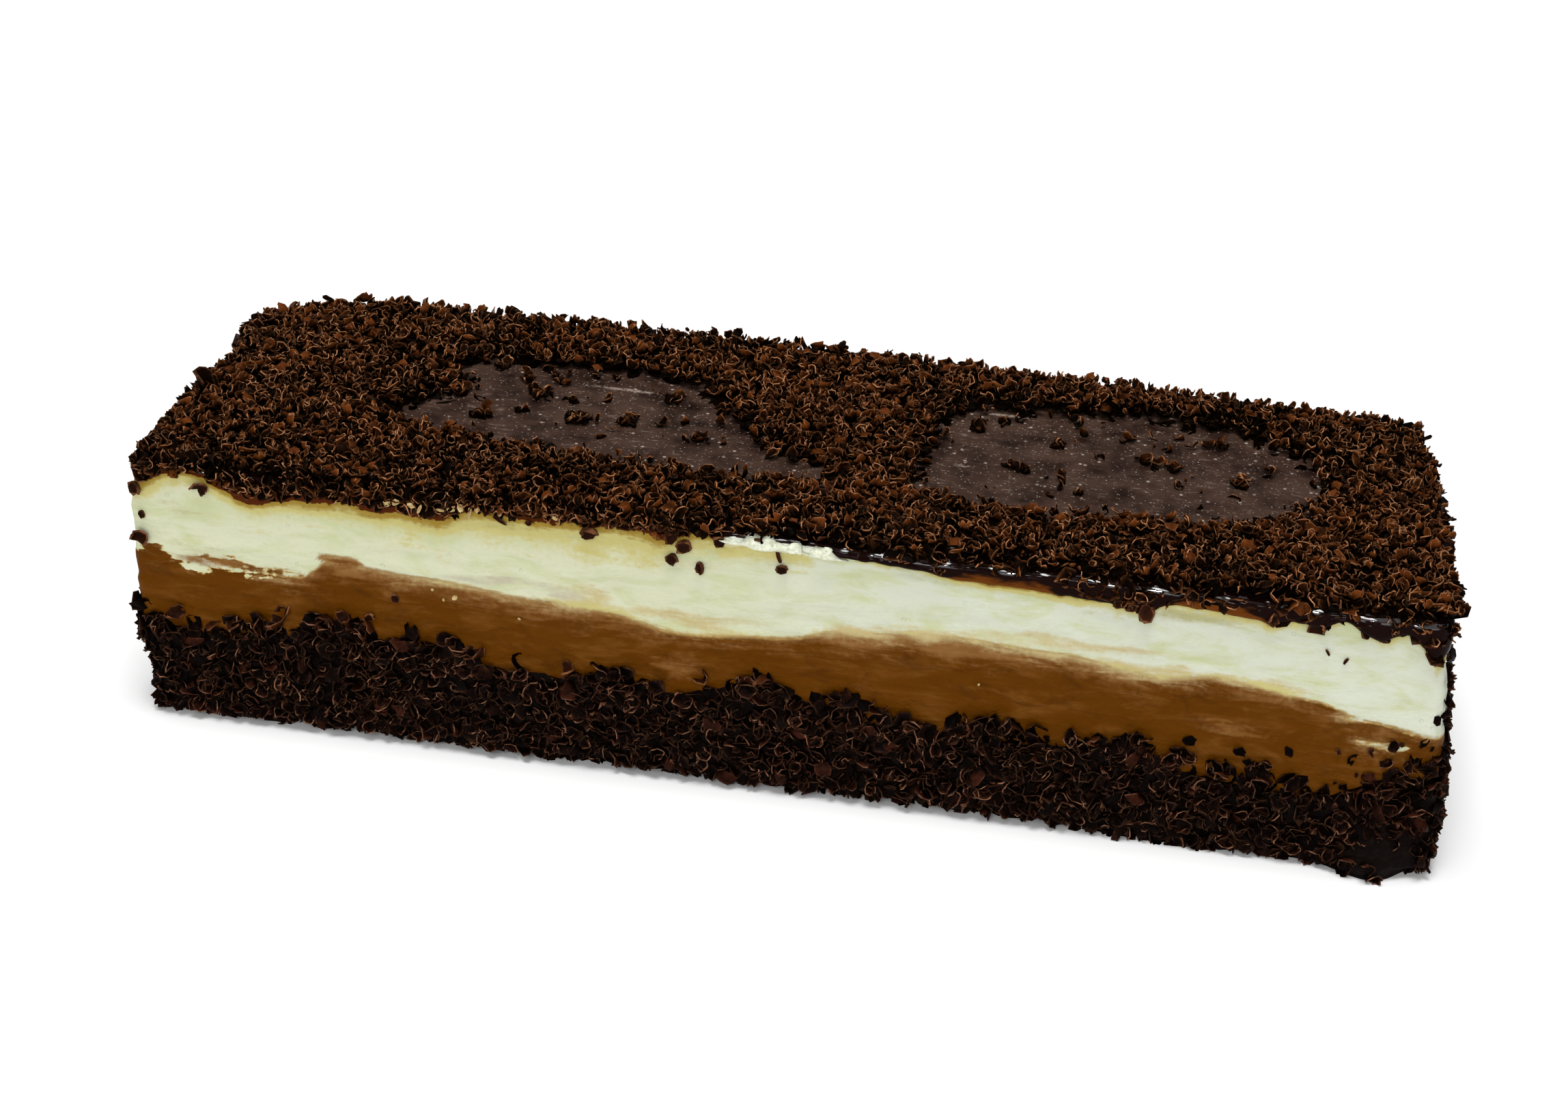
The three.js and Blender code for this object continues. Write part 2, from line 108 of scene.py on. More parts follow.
class Grain:
    """Repeatable smooth noise over a plane, from 0 to 1."""

    def __init__(self, seed: int, cells: int = 128) -> None:
        """Draws the noise's lattice.

        Args:
            seed: Seed of the draw.
            cells: Lattice cells each way before the noise repeats.
        """
        self.cells = cells
        self.lattice = np.random.default_rng(seed).random((cells, cells))

    def at(self, u: np.ndarray, v: np.ndarray) -> np.ndarray:
        """Reads the lattice at (u, v): each corner's value, eased along u and along v."""
        low_u, low_v = np.floor(u).astype(int), np.floor(v).astype(int)
        share_u, share_v = ease(u - low_u), ease(v - low_v)
        i, j = low_u % self.cells, low_v % self.cells
        i_next, j_next = (i + 1) % self.cells, (j + 1) % self.cells
        near = mix(self.lattice[i, j], self.lattice[i_next, j], share_u)
        far = mix(self.lattice[i, j_next], self.lattice[i_next, j_next], share_u)
        return mix(near, far, share_v)

    def swing(self, u: np.ndarray, v: np.ndarray, octaves: int = 1) -> np.ndarray:
        """Noise between -1 and 1: octaves of it, each at twice the pace and half the height."""
        total, height = 0.0, 1.0
        for octave in range(octaves):
            pace = 2.0 ** octave
            found = self.at(u * pace + 17.3 * octave, v * pace + 5.1 * octave)
            total = total + (found * 2.0 - 1.0) * height
            height *= 0.5
        return total


@dataclass(frozen=True)
class Patch:
    """A bare patch of glaze on the top: the corners of its outline, walked round."""

    corners: tuple[tuple[float, float], ...]

    def holds(self, x: np.ndarray, y: np.ndarray) -> np.ndarray:
        """Whether places lie in the patch: a ray to the right crosses its outline an odd number of times."""
        inside = np.zeros(np.shape(x), bool)
        for (x0, y0), (x1, y1) in zip(self.corners, self.corners[1:] + self.corners[:1]):
            crosses = (y0 > y) != (y1 > y)
            inside ^= crosses & (x < x0 + (y - y0) * (x1 - x0) / ((y1 - y0) or 1.0))
        return inside


@dataclass(frozen=True)
class Drip:
    """A lobe of the glaze's lip on the front face, or a notch where its drop is below 0."""

    x: float
    half: float
    drop: float


@dataclass(frozen=True)
class CakeForm:
    """The cake's form, with the same driving sizes as its solids, in millimetres."""

    left_end: float = -151.0
    right_end: float = 150.0
    front: float = -46.8
    back: float = 46.8
    back_bow: float = 3.2
    bow_middle: float = -20.0
    bow_half: float = 131.0
    bow_power: float = 2.2
    bow_sink: float = 1.2
    left_dish: tuple[float, float, float] = (3.6, 11.0, 12.0)  # depth, middle and half width in y
    right_taper: tuple[float, float, float] = (3.2, 8.0, 44.0)  # depth, and the y where it starts and ends
    end_zone: float = 30.0
    end_fade: float = 20.0
    corner_radii: tuple[float, float, float, float] = (2.6, 4.0, 5.0, 9.0)  # counterclockwise from front left
    top_level_mean: float = 69.0
    top_crown: float = 1.5
    corner_drop: float = 3.5
    corner_reach: float = 34.0
    left_drop: float = 0.8
    left_reach: float = 22.0
    bare_depth: float = 1.9
    foot_inset: float = 4.0
    foot_height: float = 3.0
    square_foot: tuple[float, float, float] = (60.0, 140.0, 0.7)  # its two ends in x, and its share
    foot_lump: tuple[float, float, float, float] = (138.0, 8.5, 14.0, 4.2)  # x, half width, top and reach
    lump_crust: float = 1.2
    left_profile: Line = ((0, 1.8), (13, 1.4), (23, -1.8), (38, -2.4), (55, -2.4), (66, 0), (76, 0))
    right_profile: Line = ((0, 2.6), (12, 3.6), (30, 2.4), (45, 0.6), (60, -1.4), (76, -1.2))
    profile_spread: float = 50.0
    flake_edge: Line = (
        (-151, 30), (-135, 26.7), (-118, 30), (-105, 33), (-93, 31.7), (-80, 29), (-60, 26.7), (-27, 26.7),
        (-3, 31.7), (15, 28), (28, 25), (57, 25), (82, 28), (98, 23), (120, 20.8), (137, 28), (151, 31.7))
    cream_edge: Line = (
        (-151, 44), (-135, 41.7), (-113, 41.7), (-105, 47), (-85, 45.8), (-60, 44), (-43, 43.3), (-22, 40),
        (0, 41.7), (15, 45), (40, 47.5), (65, 46.7), (87, 44), (100, 45.8), (123, 43.3), (133, 40),
        (151, 37.5))
    glaze_lip: Line = (
        (-151, 64.5), (-140, 66.4), (-124, 60.8), (-110, 63.3), (-85, 62.5), (-67, 65.6), (-43, 65.6),
        (-22, 66.4), (8, 66), (23, 65), (40, 63.3), (57, 63), (77, 61.7), (90, 63.3), (107, 62.5), (123, 63),
        (151, 60))
    drips: tuple[Drip, ...] = (
        Drip(-149.0, 3.5, 1.4), Drip(-122.0, 4.0, 0.6), Drip(-88.0, 2.6, -0.8), Drip(-79.0, 2.0, 0.8),
        Drip(-72.0, 3.4, -0.8), Drip(-57.0, 2.0, 0.9), Drip(-43.9, 2.0, 0.8), Drip(-37.0, 3.0, -1.0),
        Drip(-28.0, 3.0, 1.0), Drip(76.0, 1.1, 0.8), Drip(79.0, 1.0, 0.9), Drip(82.3, 2.0, 1.8),
        Drip(109.7, 2.1, 1.3), Drip(120.6, 2.6, 0.8), Drip(126.5, 3.0, -1.8), Drip(135.0, 1.8, 0.9),
        Drip(141.0, 3.4, -2.0), Drip(147.2, 1.8, 3.8))
    left_lip_rise: float = 0.8
    torn_half: float = 13.0
    torn_lip: float = 67.0
    lip_noise: Grain = field(default_factory=lambda: Grain(71))
    patches: tuple[Patch, ...] = (
        Patch(((26, -19), (27, 0), (28, 12), (32, 22), (37, 32), (57, 29), (75, 34), (100, 33), (118, 22),
               (122, 10), (117, -8), (98, -17), (75, -21), (50, -23), (33, -21))),
        Patch(((-102, -7), (-90, 1), (-86, 12), (-90, 23), (-75, 25), (-50, 26), (-28, 21), (-21, 5),
               (-10, -7), (3, -12), (6, -21), (-30, -23), (-70, -19), (-99, -14))))

    @property
    def length(self) -> float:
        """Length of the cake from its left end to its right."""
        return self.right_end - self.left_end

    @property
    def depth(self) -> float:
        """Depth of the cake from its front to its back."""
        return self.back - self.front

    @property
    def spine_inset(self) -> float:
        """How far the line along the middle, on which the solids close, stops short of the ends."""
        return self.depth / 4

    def front_share(self, y: np.ndarray, behind: float = 6.0) -> np.ndarray:
        """1 on the cut front, easing to 0 over the last 4 mm of a distance behind it."""
        return ease((self.front + behind - y) / 4)

    def _over(self, edge: Line, waves: np.ndarray, x: np.ndarray, y: np.ndarray) -> np.ndarray:
        """A seam's height: the front's edge, which eases into plain waves towards the back."""
        return mix(eased_line(edge, x), waves, ease((y - self.front) / self.depth))

    def flake_line(self, x: np.ndarray, y: np.ndarray) -> np.ndarray:
        """Height of the coated base's upper edge."""
        return self._over(self.flake_edge, 28 + 2.2 * np.sin(x / 19 + 1) + 1.4 * np.sin(x / 7.7), x, y)

    def cream_seam(self, x: np.ndarray, y: np.ndarray) -> np.ndarray:
        """Height of the seam between the creams."""
        return self._over(self.cream_edge, 43.5 + 1.8 * np.sin(x / 31 + 2) + np.sin(x / 12), x, y)

    def glaze_edge(self, x: np.ndarray, y: np.ndarray) -> np.ndarray:
        """Height of the glaze's lower edge, before its noise and drips."""
        return self._over(self.glaze_lip, 64.2 + 1.4 * np.sin(x / 23) + np.sin(x / 9.5 + 1), x, y)

    def lip_height(self, x: np.ndarray, y: np.ndarray) -> np.ndarray:
        """Height of the glaze's lip: its edge with two finer waves of noise, less the front's drips.

        On the front the lip is raised at the left and stays high where the white cream is torn up over it.
        """
        along = run_along(x, y)
        on_front = self.front_share(y)
        lip = (self.glaze_edge(x, y) + 0.5 * self.lip_noise.swing(along / 7, along / 90, 2)
               + 0.2 * self.lip_noise.swing(along / 1.9, 3.0 + 0 * x))
        for drip in self.drips:
            lip = lip - drip.drop * np.exp(-((x - drip.x) / drip.half) ** 2) * on_front
        lip = lip + self.left_lip_rise * on_front * ease((-10 - x) / 10)
        torn = ease((x + self.torn_half) / 3) * ease((self.torn_half - x) / 3) * on_front
        return mix(lip, np.maximum(lip, self.torn_lip), torn)

    def top_level(self, x: np.ndarray, y: np.ndarray) -> np.ndarray:
        """Mean level of the flake coat: crowned along the middle, sunk at the left and its far corner."""
        along = x / self.length * 2
        across = y / self.depth * 2
        crown = self.top_crown * (1 - along ** 4) * (0.6 + 0.4 * (1 - across ** 2))
        to_corner = np.hypot(x - self.left_end, y - self.back) / self.corner_reach
        return (self.top_level_mean + crown - self.corner_drop * (1 - ease(to_corner))
                - self.left_drop * (1 - ease((x - self.left_end) / self.left_reach)))

    def bare_level(self, x: np.ndarray, y: np.ndarray) -> np.ndarray:
        """Level of the bare glaze, under the flake coat."""
        return self.top_level(x, y) - self.bare_depth

    def is_bare(self, x: np.ndarray, y: np.ndarray) -> np.ndarray:
        """Whether places on the top lie in a bare patch."""
        return np.any([patch.holds(x, y) for patch in self.patches], axis=0)

    def base_outset(self, x: np.ndarray, y: np.ndarray, z: np.ndarray) -> np.ndarray:
        """How far the base stands out past the plan: drawn in at its foot, with a lump near its right end.

        The foot draws in less along its square stretch. The lump is a bell along x that eases out upwards.
        """
        square_from, square_to, square_share = self.square_foot
        square = ease((x - square_from) / 25) * (1 - ease((x - square_to) / 8))
        drawn_in = np.sqrt(np.clip(1 - z / self.foot_height, 0.0, 1.0))
        inset = self.foot_inset * (1 - square_share * square) * drawn_in
        lump_x, half, top, reach = self.foot_lump
        is_front = y < self.front + self.corner_radii[1]
        bell = np.exp(-((x - lump_x) / half) ** 2)
        return (reach + self.lump_crust) * bell * (1 - ease(z / top)) * is_front - inset

    def profiled(self, x: np.ndarray, z: np.ndarray) -> np.ndarray:
        """Gives places near an end that end's profile: their x at their height."""
        to_left = ease((self.left_end + self.profile_spread - x) / self.profile_spread)
        to_right = ease((x - self.right_end + self.profile_spread) / self.profile_spread)
        return (x + eased_line(self.left_profile, z) * to_left
                + eased_line(self.right_profile, z) * to_right)

    def raised(self, plan: np.ndarray, z: np.ndarray) -> np.ndarray:
        """Points at heights over places in the plan, with the ends' profiles."""
        return np.stack([self.profiled(plan[:, 0], z), plan[:, 1], z * np.ones(len(plan))], 1)

    def dish_at(self, y: np.ndarray) -> np.ndarray:
        """Depth of the hollow in the left end's plan: a bell about its middle."""
        depth, middle, half = self.left_dish
        return depth * np.exp(-((y - middle) / half) ** 2)

    def taper_at(self, y: np.ndarray) -> np.ndarray:
        """How far the right end draws in towards the back: an eased step."""
        depth, start, end = self.right_taper
        return depth * ease((y - start) / (end - start))

    def bow_at(self, x: np.ndarray, share: np.ndarray | float = 1.0) -> np.ndarray:
        """How far the back bulges: an arch about its middle, times a share squared, sunk at its ends."""
        arch = 1 - np.abs((x - self.bow_middle) / self.bow_half) ** self.bow_power
        return np.maximum(self.back_bow * arch * share ** 2, -self.bow_sink)

    def _square_plan(self) -> np.ndarray:
        """The plan before its ends and back are shaped: quarter circles joined by straight stretches."""
        front_left, front_right, back_right, back_left = self.corner_radii
        corners = (
            (self.left_end + front_left, self.front + front_left, front_left, 180.0),
            (self.right_end - front_right, self.front + front_right, front_right, 270.0),
            (self.right_end - back_right, self.back - back_right, back_right, 0.0),
            (self.left_end + back_left, self.back - back_left, back_left, 90.0))
        quarter = np.radians(np.linspace(0.0, 90.0, 25))
        arcs = [np.stack([x + radius * np.cos(np.radians(start) + quarter),
                          y + radius * np.sin(np.radians(start) + quarter)], 1)
                for x, y, radius, start in corners]
        stretch = np.linspace(0.0, 1.0, 120)[1:-1, None]
        walk = []
        for arc, following in zip(arcs, arcs[1:] + arcs[:1]):
            walk += [arc, mix(arc[-1], following[0], stretch)]
        return np.concatenate(walk)

    def outline(self, spacing: float) -> "Outline":
        """The plan of the cake's side, walked counterclockwise, with its dish, taper and bow.

        Args:
            spacing: Distance between two points of the outline.

        Returns:
            The evenly spaced outline with its outward normals.
        """
        path = self._square_plan()
        is_right = path[:, 0] > self.right_end - self.end_zone
        near_left = ease((self.left_end + self.end_zone - path[:, 0]) / self.end_fade)
        near_right = ease((path[:, 0] - self.right_end + self.end_zone) / self.end_fade)
        path[:, 0] += ~is_right * self.dish_at(path[:, 1]) * near_left
        path[:, 0] -= is_right * self.taper_at(path[:, 1]) * near_right
        path[:, 1] += self.bow_at(path[:, 0], (path[:, 1] - self.front) / self.depth)
        closed = np.vstack([path, path[:1]])
        travelled = np.concatenate([[0.0], np.cumsum(np.linalg.norm(np.diff(closed, axis=0), axis=1))])
        count = int(round(travelled[-1] / spacing))
        stops = np.arange(count) * travelled[-1] / count
        plan = np.stack([np.interp(stops, travelled, closed[:, axis]) for axis in (0, 1)], 1)
        step = np.roll(plan, -1, axis=0) - np.roll(plan, 1, axis=0)
        normals = np.stack([step[:, 1], -step[:, 0]], 1) / np.linalg.norm(step, axis=1)[:, None]
        return Outline(self, plan, normals, stops, travelled[-1])


@dataclass(frozen=True)
class Outline:
    """Evenly spaced plan points of the cake's side, with outward normals."""

    form: CakeForm
    plan: np.ndarray
    normals: np.ndarray
    travelled: np.ndarray
    length: float

    @property
    def x(self) -> np.ndarray:
        """Plan x of every point."""
        return self.plan[:, 0]

    @property
    def y(self) -> np.ndarray:
        """Plan y of every point."""
        return self.plan[:, 1]

    def ring(self, height: np.ndarray, outset: np.ndarray) -> np.ndarray:
        """A ring round the cake: the plan moved out along its normals, leaned and set at its heights."""
        return self.form.raised(self.plan + self.normals * np.reshape(outset, (-1, 1)), height)

    def toward_middle(self, ring: np.ndarray, share: float) -> np.ndarray:
        """Plan places a share of the way from a ring to the line along the cake's middle."""
        form = self.form
        middle_x = np.clip(ring[:, 0], form.left_end + form.spine_inset, form.right_end - form.spine_inset)
        return mix(ring[:, :2], np.stack([middle_x, np.zeros(len(ring))], 1), share)

    def _read(self, values: np.ndarray, where: np.ndarray) -> np.ndarray:
        """Pairs read from the outline's pairs at distances along it."""
        stops = np.append(self.travelled, self.length)
        return np.stack([np.interp(where % self.length, stops, np.append(values[:, axis], values[0, axis]))
                         for axis in (0, 1)], 1)

    def sample(self, where: np.ndarray) -> tuple[np.ndarray, np.ndarray]:
        """Plan points and unit normals at distances along the outline."""
        normals = self._read(self.normals, where)
        return self._read(self.plan, where), normals / np.linalg.norm(normals, axis=1)[:, None]


@dataclass
class Mesh:
    """Points, faces and named numbers of a mesh, ready to become a Blender object.

    Where rim labels are given, an edge between two points of the same label above 0 is sharp.
    """

    points: np.ndarray
    faces: list[np.ndarray]
    numbers: dict[str, np.ndarray] = field(default_factory=dict)
    face_numbers: dict[str, np.ndarray] = field(default_factory=dict)
    rim_labels: np.ndarray | None = None

    def build(self, name: str, material: bpy.types.Material, smooth: bool = True) -> bpy.types.Object:
        """Makes the object, with its place in its mesh.

        Args:
            name: The piece's name.
            material: Its material.
            smooth: Whether its faces are shaded smooth.

        Returns:
            The linked object, at the origin.
        """
        sizes = np.concatenate([np.full(len(faces), faces.shape[1]) for faces in self.faces])
        corners = np.concatenate([faces.ravel() for faces in self.faces]).astype(np.int32)
        data = bpy.data.meshes.new(name)
        data.vertices.add(len(self.points))
        data.vertices.foreach_set("co", ((self.points + AXES_SHIFT) * MM).astype(np.float32).ravel())
        data.loops.add(len(corners))
        data.loops.foreach_set("vertex_index", corners)
        data.polygons.add(len(sizes))
        data.polygons.foreach_set("loop_start", (np.cumsum(sizes) - sizes).astype(np.int32))
        data.polygons.foreach_set("use_smooth", np.full(len(sizes), smooth))
        data.update(calc_edges=True)
        if self.rim_labels is not None:
            ends = np.empty(2 * len(data.edges), np.int32)
            data.edges.foreach_get("vertices", ends)
            labels = self.rim_labels[ends.reshape(-1, 2)]
            is_sharp = (labels[:, 0] == labels[:, 1]) & (labels[:, 0] > 0)
            data.attributes.new("sharp_edge", "BOOLEAN", "EDGE").data.foreach_set("value", is_sharp)
        for domain, numbers in (("POINT", self.numbers), ("FACE", self.face_numbers)):
            for label, values in numbers.items():
                layer = data.attributes.new(label, "FLOAT", domain)
                layer.data.foreach_set("value", np.asarray(values, np.float32).ravel())
        data.materials.append(material)
        piece = bpy.data.objects.new(name, data)
        bpy.context.scene.collection.objects.link(piece)
        return piece


SPINE_SPACING = 2.2  # distance between the points of the middle lines that close a solid


def ring_solid(rings: np.ndarray, form: CakeForm, spine_heights: tuple[float, float]) -> Mesh:
    """A closed solid from rings that lie on one another, closed onto a line along the cake's middle.

    Args:
        rings: Array of rings, points and coordinates, the lowest ring first.
        form: The cake's form.
        spine_heights: Heights of the middle line that closes the first and the last ring.

    Returns:
        The mesh, whose points are the rings' in order and then the two middle lines'.
    """
    levels, count, _ = rings.shape
    index = np.arange(levels * count).reshape(levels, count)
    following = np.roll(index, -1, axis=1)
    spine_count = int(form.length / SPINE_SPACING)
    spine_x = np.linspace(form.left_end + form.spine_inset, form.right_end - form.spine_inset, spine_count)
    share = (rings[0, :, 0] - form.left_end) / form.length
    beside = np.clip(np.round(share * spine_count), 0, spine_count - 1).astype(int)
    points, faces = [rings.reshape(-1, 3)], [wall_quads(index)]
    first_free = levels * count
    for end, height in zip((0, levels - 1), spine_heights):
        points.append(np.stack([spine_x, np.zeros(spine_count), np.full(spine_count, height)], 1))
        near = first_free + beside
        quads = np.stack([index[end], following[end], np.roll(near, -1), near], 1)
        if end == 0:
            quads = quads[:, ::-1]
        same = near == np.roll(near, -1)
        corners = (0, 1, 2) if end else (1, 2, 3)
        faces += [quads[~same], quads[same][:, corners]]
        first_free += spine_count
    return Mesh(np.concatenate(points), faces)


@dataclass(frozen=True)
class Signal:
    """A number that changes over a surface: a socket whose operators add Math nodes."""

    tree: "FinishTree"
    socket: bpy.types.NodeSocket

    def _math(self, operation: str, *operands: "Signal | float") -> "Signal":
        """Adds a Math node on the operands, in their order."""
        made = self.tree.node("ShaderNodeMath", {"operation": operation}, dict(enumerate(operands)))
        return Signal(self.tree, made.outputs[0])

    def __add__(self, other: "Signal | float") -> "Signal":
        """self + other."""
        return self._math("ADD", self, other)

    def __radd__(self, other: float) -> "Signal":
        """other + self."""
        return self._math("ADD", other, self)

    def __sub__(self, other: "Signal | float") -> "Signal":
        """self - other."""
        return self._math("SUBTRACT", self, other)

    def __rsub__(self, other: float) -> "Signal":
        """other - self."""
        return self._math("SUBTRACT", other, self)

    def __mul__(self, other: "Signal | float") -> "Signal":
        """self * other."""
        return self._math("MULTIPLY", self, other)

    def __rmul__(self, other: float) -> "Signal":
        """other * self."""
        return self._math("MULTIPLY", other, self)

    def __truediv__(self, other: "Signal | float") -> "Signal":
        """self / other."""
        return self._math("DIVIDE", self, other)

    def step(self, low: float, high: float, start: float = 0.0, end: float = 1.0) -> "Signal":
        """Eases from start to end as this number goes from low to high, and holds outside."""
        made = self.tree.node(
            "ShaderNodeMapRange", {"interpolation_type": "SMOOTHSTEP"},
            {"Value": self, "From Min": low, "From Max": high, "To Min": start, "To Max": end})
        return Signal(self.tree, made.outputs["Result"])


class FinishTree:
    """The nodes of one material."""

    def __init__(self, name: str) -> None:
        """Makes an empty material with its output and its Principled shader.

        Args:
            name: The material's name.
        """
        self.material = bpy.data.materials.new(name)
        self.material.use_nodes = True
        self.nodes = self.material.node_tree.nodes
        self.nodes.clear()
        self.shader = self.node("ShaderNodeBsdfPrincipled")
        self.node("ShaderNodeOutputMaterial", None, {"Surface": self.shader.outputs[0]})
        self.place = self.node("ShaderNodeTexCoord").outputs["Object"]

    def node(self, kind: str, settings: dict | None = None, sockets: dict | None = None) -> bpy.types.Node:
        """Adds a node.

        Args:
            kind: The node's type.
            settings: Values of the node's own properties, set first.
            sockets: Values, signals or sockets for its inputs, by name or number.

        Returns:
            The node.
        """
        made = self.nodes.new(kind)
        for label, value in (settings or {}).items():
            setattr(made, label, value)
        for label, value in (sockets or {}).items():
            self.feed(made.inputs[label], value)
        return made

    def feed(self, target: bpy.types.NodeSocket, value: object) -> None:
        """Links a signal or socket to an input, or sets the input's own value."""
        if isinstance(value, Signal):
            value = value.socket
        if isinstance(value, bpy.types.NodeSocket):
            self.material.node_tree.links.new(value, target)
        elif isinstance(value, tuple) and target.type == "RGBA":
            target.default_value = (*value, 1.0)
        else:
            target.default_value = value

    def shade(self, **inputs: object) -> None:
        """Feeds the Principled shader, with its inputs' names in small letters and underscores."""
        for label, value in inputs.items():
            words = [word.upper() if word == "ior" else word.capitalize() for word in label.split("_")]
            self.feed(self.shader.inputs[" ".join(words)], value)

    def number(self, label: str) -> Signal:
        """A named number of the piece's own mesh."""
        return Signal(self, self.node("ShaderNodeAttribute", {"attribute_name": label}).outputs["Fac"])

    def in_lumps(self, sizes: Place) -> bpy.types.NodeSocket:
        """The piece's own coordinates, counted in lumps of a size in millimetres along each axis."""
        scale = tuple(1.0 / (size * MM) for size in sizes)
        return self.node("ShaderNodeMapping", None, {"Vector": self.place, "Scale": scale}).outputs[0]

    def noise(self, size: Place | float, detail: float, rough: float = 0.5, warp: float = 0.0) -> Signal:
        """Noise whose lumps have a size in millimetres, alike or along each axis.

        Args:
            size: Size of a lump.
            detail: Number of finer octaves.
            rough: Share of each finer octave.
            warp: How far the lumps are pulled out of shape.

        Returns:
            The noise, from 0 to 1.
        """
        sizes = size if isinstance(size, tuple) else (size, size, size)
        made = self.node("ShaderNodeTexNoise", None, {
            "Vector": self.in_lumps(sizes), "Scale": 1.0, "Detail": detail, "Roughness": rough,
            "Distortion": warp})
        return Signal(self, made.outputs["Fac"])

    def spots(self, size: float, radius: float) -> Signal:
        """Round spots in the cells of a random pattern: 1 at a spot's middle, 0 outside its radius."""
        cells = self.in_lumps((size, size, size))
        made = self.node("ShaderNodeTexVoronoi", None, {"Vector": cells, "Scale": 1.0})
        return 1.0 - Signal(self, made.outputs["Distance"]).step(radius * 0.5, radius)

    def blend(self, share: Signal | float, low: object, high: object) -> bpy.types.NodeSocket:
        """A colour a share of the way from low to high."""
        made = self.node("ShaderNodeMix", {"data_type": "RGBA"}, {0: share, 6: low, 7: high})
        return made.outputs[2]

    def bump(self, height: Signal, depth: float) -> None:
        """Lets a height of 1 stand out of the surface by a depth in millimetres."""
        made = self.node("ShaderNodeBump", None, {"Height": height, "Distance": depth * MM, "Strength": 1.0})
        self.feed(self.shader.inputs["Normal"], made.outputs[0])


@dataclass(frozen=True)
class FlakeFinish:
    """Chocolate flakes: painted shade in their hollows and on their inner sides, brown outside, with a thin
    paler broken edge that is painted brighter where it stands high.
    """

    name: str
    hollow_shade: Colour
    dark: Colour
    light: Colour
    rim: Colour
    roughness: float = 0.45
    rims_from: float = 0.1

    def material(self) -> bpy.types.Material:
        """Makes the material. It reads the flakes' tone, sides and edges, and their rise from the coat, by
        which it paints shade in their hollows and a highlight on their high edges.
        """
        tree = FinishTree(self.name)
        tone, rise = tree.number("tone"), tree.number("rise")
        mottle = tree.noise(0.8, 2.0)
        areas = tree.noise(22.0, 2.0)
        outer = tree.number("outer")
        # painted shade: a flake's inner side is darker than its outer side; the rest is its own random tone
        # and mottle
        shade = tone * (0.4 + 0.45 * outer) + (mottle - 0.5) * 0.7 + (areas - 0.5) * 0.8 + 0.07
        near_rim = tree.number("rim")
        # faces are painted lighter towards their rim: partly a thinner, paler edge, partly painted shade in
        # their middle
        face = tree.blend((shade + near_rim * near_rim * 0.25).step(0.15, 1.2), self.dark, self.light)
        # painted shade: faces fade to the hollow shade colour where they lie low in the coat
        face = tree.blend((rise + (mottle - 0.5) * 0.3).step(0.28, 1.0), self.hollow_shade, face)
        broken = tree.noise(2.0, 1.0).step(0.4, 0.62)
        # the paler edge is painted brightest where the flake stands high: partly the edge's own colour,
        # partly a painted highlight
        edge = (tree.number("edge").step(0.4, 0.6, 0.5, 1.0) * near_rim.step(0.8, 1.0)
                * (rise + (mottle - 0.5) * 0.9).step(0.35, 1.0) * (0.2 + 0.8 * broken)
                * tone.step(self.rims_from, self.rims_from + 0.6, 0.15, 1.0))
        tree.shade(base_color=tree.blend(edge, face, self.rim),
                   roughness=mottle.step(0.2, 0.8, self.roughness - 0.08, self.roughness + 0.1),
                   specular_ior_level=0.015)
        tree.bump(mottle, 0.06)
        return tree.material


TOP_FLAKE = FlakeFinish(
    "top_flake", hollow_shade=srgb(6, 2, 0), dark=srgb(18, 7, 2), light=srgb(102, 52, 19), rim=srgb(168, 118, 82))
# painted shade: a darker copy of the flake finish for the flakes on the sides, which get less light from
# above
SHADED_BAND_FLAKE = FlakeFinish(
    "shaded_band_flake", hollow_shade=srgb(5, 2, 1), dark=srgb(12, 5, 3), light=srgb(56, 26, 15), rim=srgb(136, 96, 72),
    roughness=0.38, rims_from=0.42)
STRAY_CHIP = FlakeFinish(
    "stray_chip", hollow_shade=srgb(20, 7, 3), dark=srgb(28, 12, 6), light=srgb(64, 32, 16), rim=srgb(118, 76, 50))


@dataclass(frozen=True)
class ChunkFinish:
    """Mottled cream that is torn up or lies in crumbs."""

    name: str
    dark: Colour
    light: Colour
    roughness: float = 0.6

    def material(self) -> bpy.types.Material:
        """Makes the material."""
        tree = FinishTree(self.name)
        mottle = tree.noise(0.9, 2.0)
        tree.shade(base_color=tree.blend(mottle.step(0.3, 0.75), self.dark, self.light),
                   roughness=self.roughness, specular_ior_level=0.4)
        tree.bump(mottle, 0.15)
        return tree.material


# the torn strip's pale tones are partly painted light on its upturned top
TORN_CREAM = ChunkFinish("torn_cream", dark=srgb(196, 198, 170), light=srgb(228, 232, 214))
CREAM_CRUMB = ChunkFinish("cream_crumb", dark=srgb(160, 128, 74), light=srgb(190, 170, 116))


class Smudge(Enum):
    """Kinds of smudge on the creams, by the name of the mesh's number that holds each; green is partly
    painted shade.
    """

    ROSY = "rosy"
    BEIGE = "beige"
    LAVENDER = "lavender"
    GREEN = "green"
    STAIN = "stain"
    TORN = "torn"


